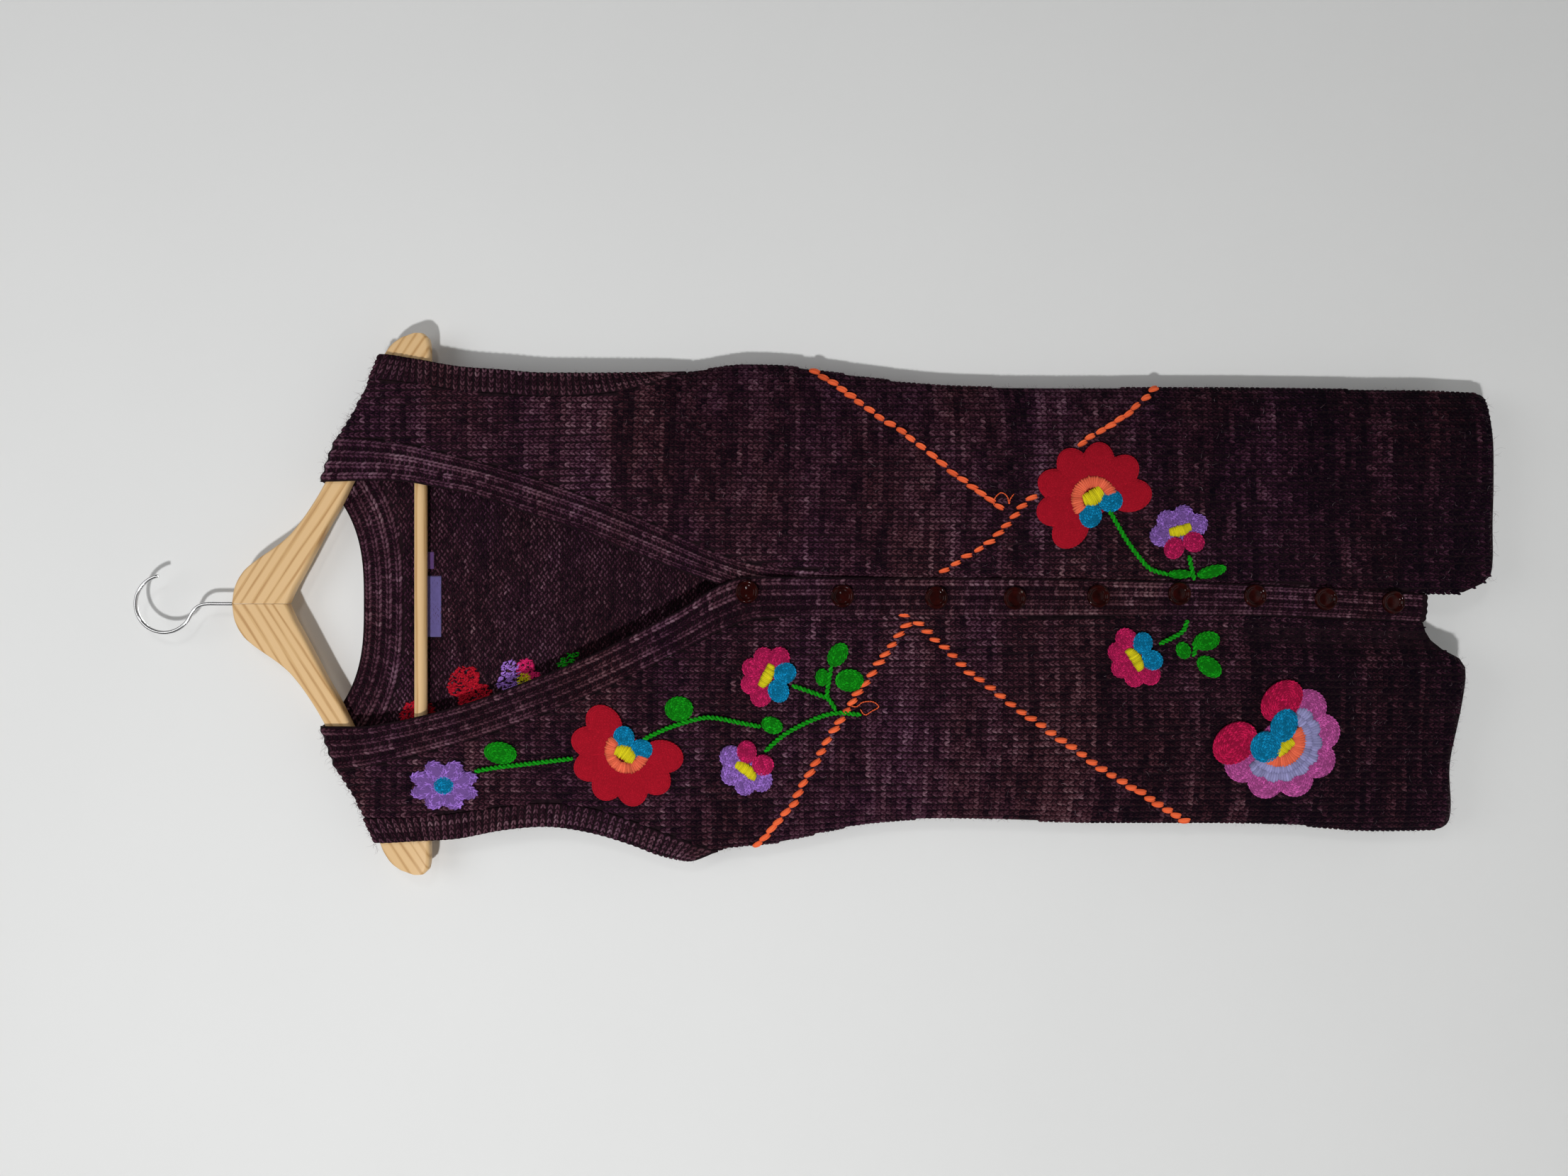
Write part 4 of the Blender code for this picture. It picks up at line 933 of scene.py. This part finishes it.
HEARTS = {  # how far in the petals reach, and how wide they are
    "disc": (0.16, 0.9),
    "half": (0.22, 1.12),
    "sun": (0.26, 1.16),
    "tiers": (0.42, 1.16),
}
LIP_COLOURS = {"violet": "pink", "red": "blue", "pink": "blue"}
PLAIN_ROWS = {"pitch": 1.9, "link": 3.0, "height": 0.85}
PETAL_ROWS = {
    "red": {"pitch": 1.7, "link": 2.6, "height": 0.42, "spread": 0.2, "shade": 0.12},
    "violet": {"pitch": 2.5, "link": 3.2, "height": 1.25, "spread": 0.5},
}
SMALL_ROWS = {"pitch": 1.8, "link": 2.5, "height": 0.9}
REVERSE_STRANDS = {"red": (1.5, 3.4), "violet": (1.75, 3.6)}  # spacing and length on the wrong side
OVALS = (  # on the orchid fan: colour, how it is raised and domed, link, axis, x, z and half axes
    ("blue", 3, 1.2, 3, -25, 13, -3, 13.5, 10.5),
    ("blue", 3, 1.2, 3, 113, -4, 11.5, 12.5, 12),
    ("crimson", 1.6, 1, 3.2, -46, 31.5, -1.5, 19, 14),
    ("crimson", 1.6, 1, 3.2, 128, -2, 35.5, 19.5, 15),
)
LEAVES = (  # name, face, x, z, half width, half length and lean
    ("leaf_star", FRONT, -120.5, -302, 9, 13.5, -8), ("leaf_rose_right", FRONT, -84, -447, 10, 11.5, 0),
    ("leaf_fan_right", FRONT, -97, -522, 6.5, 9, -20), ("leaf_twig_top", FRONT, -58.5, -562.5, 7, 5.6, 0),
    ("leaf_twig_low", FRONT, -61, -584.5, 9, 11.5, 0), ("leaf_twig_end", FRONT, -40.5, -575, 7.5, 10.5, 55),
    ("leaf_low_top", FRONT, -37, -853.5, 7, 6, 20), ("leaf_low_mid", FRONT, -29.5, -873, 7.5, 11, 15),
    ("leaf_low_end", FRONT, -50, -874, 7.5, 11, -35), ("leaf_left_top", FRONT, 24, -850.5, 3.8, 9.5, 0),
    ("leaf_left_low", FRONT, 26, -876, 5, 12, 15), ("leaf_back", BACK, -47, -352, 7.5, 11, -35),
)  # fmt: skip
STEMS = (  # face, and a path of x and z
    (FRONT, ((-135.4, -281), (-132, -300), (-129, -325), (-124.5, -361.1))),
    (FRONT, ((-108.7, -418), (-98.5, -440.3), (-91.7, -462.9), (-91, -476), (-95, -497), (-98, -513))),
    (FRONT, ((-118, -516), (-103.7, -533), (-92, -556), (-87, -574), (-88.4, -594))),
    (FRONT, ((-64.9, -538), (-70, -553), (-75.1, -567))),
    (FRONT, ((-85, -573.5), (-79, -570), (-73.1, -566.5), (-61, -568), (-49, -570))),
    (FRONT, ((-32, -834), (-27, -845), (-21.6, -854), (-12.8, -857.5))),
    (FRONT, ((-42, -861), (-36, -863), (-30, -862))),
    (FRONT, ((76, -793), (62, -801), (49.8, -808.4), (37, -818), (27.9, -827), (23.5, -841))),
    (FRONT, ((19, -862), (28, -860), (38.8, -857.6))),
    (BACK, ((-74, -331), (-66, -341), (-53, -347))),
)
RUNNING_STITCHES = (  # x and z from, x and z to, and the stitches' lean in degrees from the vertical
    (-195.7, -510, -162, -538.5, 34), (-153, -543, -110, -566.1, 28), (-101, -571.5, -64, -596.7, 26),
    (-55.5, -602.5, -17, -630, 22), (-8.5, -629, -8.5, -631, -4), (-15.5, -640, -54.7, -681.5, -6),
    (-61, -689.5, -86.4, -722.4, -8), (-92, -731, -132.3, -787.8, -6), (-138, -797, -175.9, -858.7, -4),
    (189.5, -556.9, 163.1, -592.7, -20), (157, -600.5, 132.9, -634.5, -24), (127, -642, 105.9, -667.2, -24),
    (99.5, -676, 78.3, -705, -22), (27.3, -661.1, 49.7, -697.5, 16), (56.5, -704, 85.5, -731, 22),
    (129.4, -772.4, 153.7, -810.1, 24), (159.5, -817.5, 175.5, -834, 26),
)  # fmt: skip
RUNNING_STEP = 9.6
LOOSE_ENDS = (
    (
        (-80.5, -583), (-82, -590), (-78.5, -595), (-78, -603), (-82, -608), (-85.5, -602.5),
        (-88.5, -597), (-84, -593),
    ),
    ((79, -700.5), (84.5, -701.5), (89, -706.5), (86, -711.5), (80, -713), (84, -714), (88, -717)),
)  # fmt: skip


def patch(piece, spot, angle, distance, half_a, half_b, rise, base):
    """Gives a piece a domed lobe to lie on: a runs away from the flower's middle, and b across that."""
    face, x, z, stretch = spot

    def at(a, b, lift):
        inner = np.clip(1 - (a / half_a) ** 2 - (b / half_b) ** 2, 0, 1)
        u, v = turned(math.radians(angle), a + distance, b)
        return cloth(face, x - face * u, z + stretch * v, -(PATCH_RIM + base + rise * np.sqrt(inner) + lift))

    piece.at, piece.outward = at, face


def lobe(piece, spot, angle, distance, half_a, half_b, base=0.0, rise=1.2, **rows):
    """One petal or leaf: a dome covered by rows of chain stitch."""
    patch(piece, spot, angle, distance, half_a, half_b, rise, base)
    # painted shade: the cushion is coloured darker than its stitches, by shade, so the gaps between them read
    # as shaded
    dome(piece, half_a - 0.3, half_b - 0.3, 0.5 - rows.get("shade", SHADE))
    chain_rows(piece, half_a, half_b, **rows)


def satin(piece, spot, low, high, first, last, base, width=1.9, scallops=0):
    """Straight stitches, side by side in two layers, that run out from the middle between two radii."""
    count = max(5, round(math.radians(last - first) * (low + high) / 2 / (width * 0.82)))
    patch(piece, spot, 0, 0, high * 1.3, high * 1.3, 0.8, base)
    for layer in (-0.45, 0.0):
        turn = np.radians(np.linspace(first, last, count)) + layer * width / high
        further = 3 * np.abs(np.sin(np.linspace(0, scallops * math.pi, count)))
        reach = (low + high + further) / 2 + RNG.normal(0, 0.2, count)
        length = (high - low) * 1.12 + further + RNG.normal(0, 0.4, count)
        # painted shade: the lower layer is painted darker than the upper one
        tone = tones(0.68 + layer / 4, 0.12, count)
        along, across = reach * np.cos(turn), reach * np.sin(turn)
        strands(piece, along, across, turn, length, width * 1.25, 1.5, tone, 0.1 - layer, 5, 5)


def block(piece, spot, angle, distance, half_width, length, base):
    """A solid heart of straight stitches that all run one way, side by side."""
    patch(piece, spot, angle, distance, length * 1.2, half_width * 1.4, 0.8, base)
    across = np.arange(-half_width + 0.6, half_width, 1.25)
    shorter = 1 - 0.35 * (across / half_width) ** 2
    for layer in (-0.5, 0.0):
        # painted shade: the lower layer is painted darker than the upper one
        tone = tones(0.66 + layer / 4, 0.1, len(across))
        shift = RNG.normal(0, 0.25, len(across)) + length * (1 - shorter) / 2.5
        turn = RNG.normal(0, 0.07, len(across))
        strands(piece, shift, across + layer, turn, length * shorter, 2.0, 1.4, tone, 0.1 - layer, 5, 5)


def petals_of(row):
    """Each petal's angle, how far off its middle is, its half length and its half width."""
    outer = row["reach"] + row["petal"]
    inner, wide = HEARTS[row["heart"]]
    half = outer * (1 - inner) / 2
    angles = np.linspace(row["first"], row["last"], row["petals"])
    return [(angle, outer - half, half, row["petal"] * wide) for angle in angles]


def lips_of(row):
    reach, half = row["lip_reach"], row["lip"]
    return [(row[lip], reach * 0.86, half * 1.05, half * 0.95) for lip in ("lip_a", "lip_b") if reach]


def flower(row):
    """Petals in chain stitch, two lips beside the stem, and a heart of straight stitches."""
    name, face, x, z, colour, heart = (row[key] for key in ("name", "face", "x", "z", "colour", "heart"))
    spot = (face, x, z, row["stretch"])
    outer = row["reach"] + row["petal"]
    middle = (row["first"] + row["last"]) / 2
    wools = {}

    def wool_piece(colour):
        return wools.setdefault(colour, Piece(f"{name}_{colour}", f"wool_{colour}"))

    petals = wool_piece(colour)
    rows = PETAL_ROWS.get(colour, PLAIN_ROWS)
    if heart != "disc":
        u, v = turned(math.radians(middle), 0.14 * outer, 0)
        inner = (face, x - face * u, z + v, row["stretch"])
        lobe(petals, inner, middle, 0, 0.40 * outer, 0.44 * outer, -0.3, 0.5, **rows)
    for i, (angle, far, half_a, half_b) in enumerate(petals_of(row)):
        longer = RNG.uniform(0.98, 1.03)
        lobe(petals, spot, angle, far, half_a * longer, half_b, 0.15 * (i % 2), 1.5, **rows)
    if heart == "disc":
        lobe(wool_piece("blue"), (face, x, z, 1.12), 0, 0, 7.4, 7.4, 1.0, **SMALL_ROWS)
    if heart == "half":
        block(wool_piece("yellow"), spot, middle, 4, 0.36 * outer, 0.36 * outer, 1.5)
    if heart == "sun":
        satin(wool_piece("salmon"), spot, 0.20 * outer, 0.385 * outer, middle - 100, middle + 100, 1.3)
        block(wool_piece("yellow"), spot, middle, 0.03 * outer, 0.18 * outer, 0.28 * outer, 1.6)
    if heart == "tiers":
        satin(wool_piece("lilac"), spot, 25, 30.5, 134, 328, 1.2, 2.3, scallops=8)
        satin(wool_piece("lilac"), spot, 19, 26, 134, 328, 1.3, 2.3)
        satin(wool_piece("salmon"), spot, 10.5, 20.5, 140, 304, 1.7, 2.1)
        block(wool_piece("yellow"), spot, middle, 5.5, 8, 9.5, 2)
        for colour, base, rise, link, axis, dx, dz, half_a, half_b in OVALS:
            oval = (face, x + dx, z + dz, 1)
            lobe(wool_piece(colour), oval, axis, 0, half_a, half_b, base, rise, pitch=2.0, link=link)
    for lip in lips_of(row):
        lobe(wool_piece(LIP_COLOURS[colour]), spot, *lip, 1.2, **SMALL_ROWS)
    for piece in wools.values():
        piece.build(name if piece is petals else None)


def leaf(name, face, x, z, half_width, half_length, lean):
    piece = Piece(f"{name}_stitches", "wool_green")
    lobe(piece, (face, x, z, 1), 90 + lean, 0, half_length, half_width, pitch=2.1, link=3.1)
    piece.build(name)


def wrong_side():
    """The reverse of the back's motifs: short uneven strands where their stitches come through the knit."""

    def at(along, across, lift):
        return cloth(BACK, across, -along, WALL + lift)

    colours = ("red", "violet", "pink", "yellow", "green")
    pieces = {colour: Piece(f"reverse_{colour}", f"wool_{colour}", at) for colour in colours}

    def scattered(colour, x, z, angle, far, half_a, half_b, spacing, size):
        count = round(math.pi * half_a * half_b / spacing**2)
        reach, round_it = np.sqrt(RNG.random(count)), RNG.uniform(0, 2 * math.pi, count)
        a, b = far + half_a * reach * np.cos(round_it), half_b * reach * np.sin(round_it)
        u, v = turned(math.radians(angle), a, b)
        heading = RNG.normal(0.35, 0.55, count)
        tone = tones(0.6, 0.16, count)
        length = RNG.uniform(0.7, 1.25, count) * size
        strands(pieces[colour], -(z + v), x - u, heading, length, 1.6, 1.5, tone, -0.1, 3, 4)

    for row in FLOWERS:
        if row["face"] == BACK:
            x, z, colour = row["x"], row["z"], row["colour"]
            for petal in petals_of(row):
                scattered(colour, x, z, *petal, *REVERSE_STRANDS[colour])
            if row["heart"] == "half":
                scattered("yellow", x, z, 0, 0, 6.5, 5.5, 1, 3)
                for lip in lips_of(row):
                    scattered(LIP_COLOURS[colour], x, z, *lip, 1.2, 3)
    for _, face, x, z, _, _, lean in LEAVES:
        if face == BACK:
            scattered("green", x, z, 90 + lean, 0, 10, 4.5, 1.9, 3.6)
    for piece in pieces.values():
        piece.build()


def stems():
    piece = Piece("stems", "wool_green")
    for face, path in STEMS:
        rope(piece, face, path)
    piece.build()


def running_stitches():
    """The orange line of running stitch, and the loose ends where its wool was knotted."""

    def at(along, across, lift):
        return cloth(FRONT, across, -along, -lift)

    piece = Piece("running_stitches", "wool_orange", at)
    for x0, z0, x1, z1, lean in RUNNING_STITCHES:
        count = round(math.hypot(x1 - x0, z1 - z0) / RUNNING_STEP) + 1
        x = np.linspace(x0, x1, count) + RNG.normal(0, 0.4, count)
        z = np.linspace(z0, z1, count) + RNG.normal(0, 0.4, count)
        turn = math.radians(lean) + RNG.normal(0, 0.07, count)
        size = RNG.uniform(8.6, 10.6, count)
        for way in (-1, 1):
            u, v = turned(turn, 0, 0.7 * way)
            tone = tones(0.72 + 0.05 * way, 0.08, count)
            strands(piece, u - z, x + v, turn + way * 0.05, size, 2.5, 2.2, tone, -0.35, 6, 5)
    for path in LOOSE_ENDS:
        rope(piece, FRONT, path, width=1.1, pitch=4.0, lift=1.5)
    piece.build()


# ---- trims and the hanger

BUTTON_PROFILE = (  # shares of the button's radius and thickness, from its middle to its back
    (0.0, 0.66), (0.1, 0.655), (0.2, 0.63), (0.27, 0.595), (0.39, 0.528), (0.51, 0.46), (0.58, 0.45),
    (0.66, 0.60), (0.71, 0.78), (0.76, 0.90), (0.82, 0.97), (0.88, 1.0), (0.93, 0.96), (0.97, 0.84),
    (1.0, 0.6), (0.98, 0.42), (0.9, 0.2), (0.8, 0.0), (0.4, 0.0), (0.0, 0.0),
)  # fmt: skip
LABELS = (  # name, left, right, top, bottom and finish
    ("neck_label", -27.5, 23, -230, -247.5, "label"),
    ("size_tab", 28.9, 42.9, -230.5, -241.5, "tab"),
)
LABEL_THICK = 0.7
ARM_THICK, ARM_EDGE_ROUND = 12, 3.5
ARM_COLUMNS = "x top bottom"
ARM = (
    (0.15, -79.3, -125), (14, -81.6, -131.5), (21, -84.8, -135.5), (28, -89.8, -139.3), (35, -98, -143),
    (42, -108, -146.6), (49, -118, -150.4), (56, -126, -154), (66, -134.5, -159.5), (78, -143, -166.5),
    (98, -154.9, -176.5), (135, -168.9, -194), (152, -179.4, -203.5), (171, -189.4, -215),
    (186, -196.8, -224), (188.3, -197.8, -241.5), (206, -205.2, -241.5), (213, -210.5, -241.2),
    (218, -217.5, -240), (221.5, -227, -236.5),
)  # fmt: skip
BAR_RADIUS, BAR_Z, BAR_HALF = 5.25, -233.2, 185.6
WIRE_RADIUS, HOOK_RADIUS = 1.5, 23.6
HOOK_FROM, HOOK_TO, HOOK_POINTS = 238, 12, 40
SHAFT_TOP, SHAFT_BOTTOM = -58, -78.9


def lathe(piece, profile, middle, axis, sides):
    """Turns a profile of (radius, height), from the axis back to it, about an axis through middle."""
    one = np.cross(axis, (0.0, 0.0, 1.0))
    two = np.cross(axis, one)
    turn = circle(sides)[:, None]
    ring = one * np.cos(turn) + two * np.sin(turn)
    made = np.concatenate([middle + np.array(axis) * height + ring * radius for radius, height in profile])
    made = made[sides - 1 : 1 - sides]
    hub, quads = hub_faces(len(profile) - 2, sides)
    end = hub[:, [0, 2, 1]] + len(made) - 1 - np.array([0, sides + 1, sides + 1])
    piece.add(made, [hub, end, quads])


def button(name):
    low, high = np.array(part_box(name)) / MM
    middle = (low + high) / 2
    middle[1] = high[1]
    piece = Piece(f"{name}_polished", "resin")
    lathe(piece, np.array(BUTTON_PROFILE) * (BUTTON_RADIUS, BUTTON_THICK), middle, (0, -1, 0), 44)
    piece.build(name)


def label(name, left, right, top, bottom, finish):
    """A blank woven ribbon, with its two ends folded under."""
    x, z = np.linspace(left, right, 34), np.linspace(top, bottom, 12)[:, None]
    puffed = 0.25 * np.exp(-(((np.minimum(x - left, right - x) - 1.6) / 1.1) ** 2))
    lifted = LABEL_THICK + puffed + 0.1 * np.sin(x / 5) * np.sin(z / 4)
    piece = Piece(f"{name}_ribbon", finish)
    shell(piece, BACK, x, z, WALL + GAP, WALL + GAP + lifted)
    piece.build(name)


def hanger_arm(name, side, finish):
    """A plank with rounded edges, from the mitre in the middle to its tip."""
    marks = [row[0] for row in ARM]
    stations = np.unique(np.append(marks, np.linspace(marks[0], marks[-1], 60)))
    made, columns = [], curves(ARM, ARM_COLUMNS)
    for x in stations:
        top, bottom = columns["top"](x), columns["bottom"](x)
        edge = min(ARM_EDGE_ROUND, (top - bottom) / 2.2)
        high, low, out = top - edge, bottom + edge, ARM_THICK / 2 - edge
        for corner, (y, z) in enumerate(((out, high), (-out, high), (-out, low), (out, low))):
            for turn in np.radians(90 * corner + np.linspace(0, 90, 6)):
                made.append((side * x, y + edge * math.cos(turn), z + edge * math.sin(turn)))
    ring = np.arange(len(made) // len(stations))
    caps = np.stack([ring, len(made) - len(ring) + ring[::-1]])
    piece = Piece(f"{name}_planed", finish)
    piece.add(made, [grid_faces(len(stations), len(ring), True)[:, ::side], caps[:, ::side]])
    return piece.build(name, smooth_angle=40)


def hanger_bar():
    piece = Piece("hanger_bar_dowel", "pine_bar")
    length = 2 * BAR_HALF
    heights = [0, 0.01, *(length * np.linspace(0.02, 0.98, 12)), length - 0.01, length]
    profile = [(0, 0), *((BAR_RADIUS, height) for height in heights), (0, length)]
    lathe(piece, profile, (-BAR_HALF, 0, BAR_Z), (1, 0, 0), 32)
    return piece.build("hanger_bar", smooth_angle=50)


def hook():
    """Round wire: a straight shaft, a soft bend, and an open round hook with a blunt end."""
    points = [(0, SHAFT_BOTTOM), (0, (SHAFT_BOTTOM + SHAFT_TOP) / 2), (0, SHAFT_TOP)]
    points += [(-1.2, SHAFT_TOP + 6), (-5, SHAFT_TOP + 11.5)]
    for a in np.radians(np.linspace(HOOK_FROM, HOOK_TO, HOOK_POINTS)):
        points.append((HOOK_RADIUS * np.cos(a), WIRE_RADIUS - HOOK_RADIUS + HOOK_RADIUS * np.sin(a)))
    x, z, side, run = smooth_path(points, 1.0)
    radius = WIRE_RADIUS * np.clip(0.72 + (run[-1] - run) / 4, 0.72, 1.0)
    piece = Piece("hook_wire", "steel")
    tube(piece, np.stack([x, 0 * x, z], axis=1), side, 1, radius, points=14)
    piece.build("hook")


# ---- room, light and camera

CAMERA_AT = (0.013, -0.967, -0.5317)
CAMERA_LENS = 27
WALL_Y, FLOOR_Z = 0.0235, -1.9
LAMPS = (  # name, place, the height it is aimed at, width and power
    ("key", (-0.95, -2.0, -0.20), -0.5, 0.13, 28.5),
    ("fill", (0.1, -1.3, 0.9), -0.3, 1.2, 7.4),
    ("second", (0.62, -1.5, -0.30), -0.5, 0.2, 1.6),
    ("behind", (0.4, 2.2, 0.3), -0.5, 0.8, 34.0),
)


def plain(name, colour, one_sided):
    finish = Finish(name, Roughness=0.95, Specular_IOR_Level=0.1)
    finish.colour(finish.noise(3), (0.3, colour), (0.7, tuple(c * 1.02 for c in colour)))
    if one_sided:
        shown = finish.shader.outputs[0]
        behind, clear = finish.node("NewGeometry").outputs["Backfacing"], finish.node("BsdfTransparent")
        mix = finish.node("MixShader", behind, shown, clear.outputs[0])
        finish.feed(finish.tree.nodes["Material Output"], Surface=mix.outputs[0])


def backdrop():
    """A pale floor, and a pale wall close behind that shows from its front alone."""
    for name, near, far, colour in (
        ("floor", (-3, FLOOR_Z), (WALL_Y, FLOOR_Z), (0.78, 0.78, 0.77)),
        ("wall", (WALL_Y, FLOOR_Z), (WALL_Y, 1.2), (0.80, 0.805, 0.80)),
    ):
        plain(name, colour, name == "wall")
        mesh = bpy.data.meshes.new(name)
        mesh.from_pydata([(-2, *near), (2, *near), (2, *far), (-2, *far)], [], [(0, 1, 2, 3)])
        mesh.materials.append(FINISHES[name])
        put(name, mesh)


def lamp(name, at, aim_z, size, power):
    light = bpy.data.lights.new(name, "AREA")
    light.shape, light.size, light.energy = "DISK", size, power
    obj = put(name, light)
    obj.location = at
    way = np.array((0, 0, aim_z)) - at
    tilt = math.acos(-way[2] / np.linalg.norm(way))
    obj.rotation_euler = (tilt, 0, math.atan2(way[1], way[0]) - math.pi / 2)
    return obj


def leave_out(name, objects):
    """A collection that takes these objects out of a lamp's light or shadow."""
    collection = bpy.data.collections.new(name)
    for obj in objects:
        collection.objects.link(obj)
    for member in collection.collection_objects:
        member.light_linking.link_state = "EXCLUDE"
    return collection


def lights_and_camera(hanger):
    behind = [lamp(*row) for row in LAMPS][-1]
    behind.light_linking.blocker_collection = leave_out("past_wall", [bpy.data.objects["wall"]])
    behind.light_linking.receiver_collection = leave_out("past_hanger", hanger)
    scene = bpy.context.scene
    scene.world = bpy.data.worlds.new("studio")
    scene.world.use_nodes = True
    background = scene.world.node_tree.nodes["Background"]
    background.inputs["Color"].default_value = (1.0, 1.0, 1.0, 1.0)
    background.inputs["Strength"].default_value = 0.10
    scene.view_settings.view_transform = "Standard"
    camera = bpy.data.cameras.new("camera")
    camera.lens, camera.sensor_width = CAMERA_LENS, 36
    scene.camera = put("camera", camera)
    # The camera lies on its side: it looks along +Y, with its own up towards +X.
    scene.camera.rotation_euler = (math.radians(90), math.radians(90), 0)
    scene.camera.location = CAMERA_AT


def main():
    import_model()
    make_finishes()
    backdrop()
    body()
    bands()
    for row in FLOWERS:
        flower(row)
    for row in LEAVES:
        leaf(*row)
    wrong_side()
    stems()
    running_stitches()
    for index in range(1, BUTTONS + 1):
        button(f"button_{index}")
    for row in LABELS:
        label(*row)
    hanger = [hanger_arm("hanger_arm_right", -1, "pine_right"), hanger_arm("hanger_arm_left", 1, "pine_left")]
    hanger.append(hanger_bar())
    hook()
    edge_fibres()
    lights_and_camera(hanger)


main()
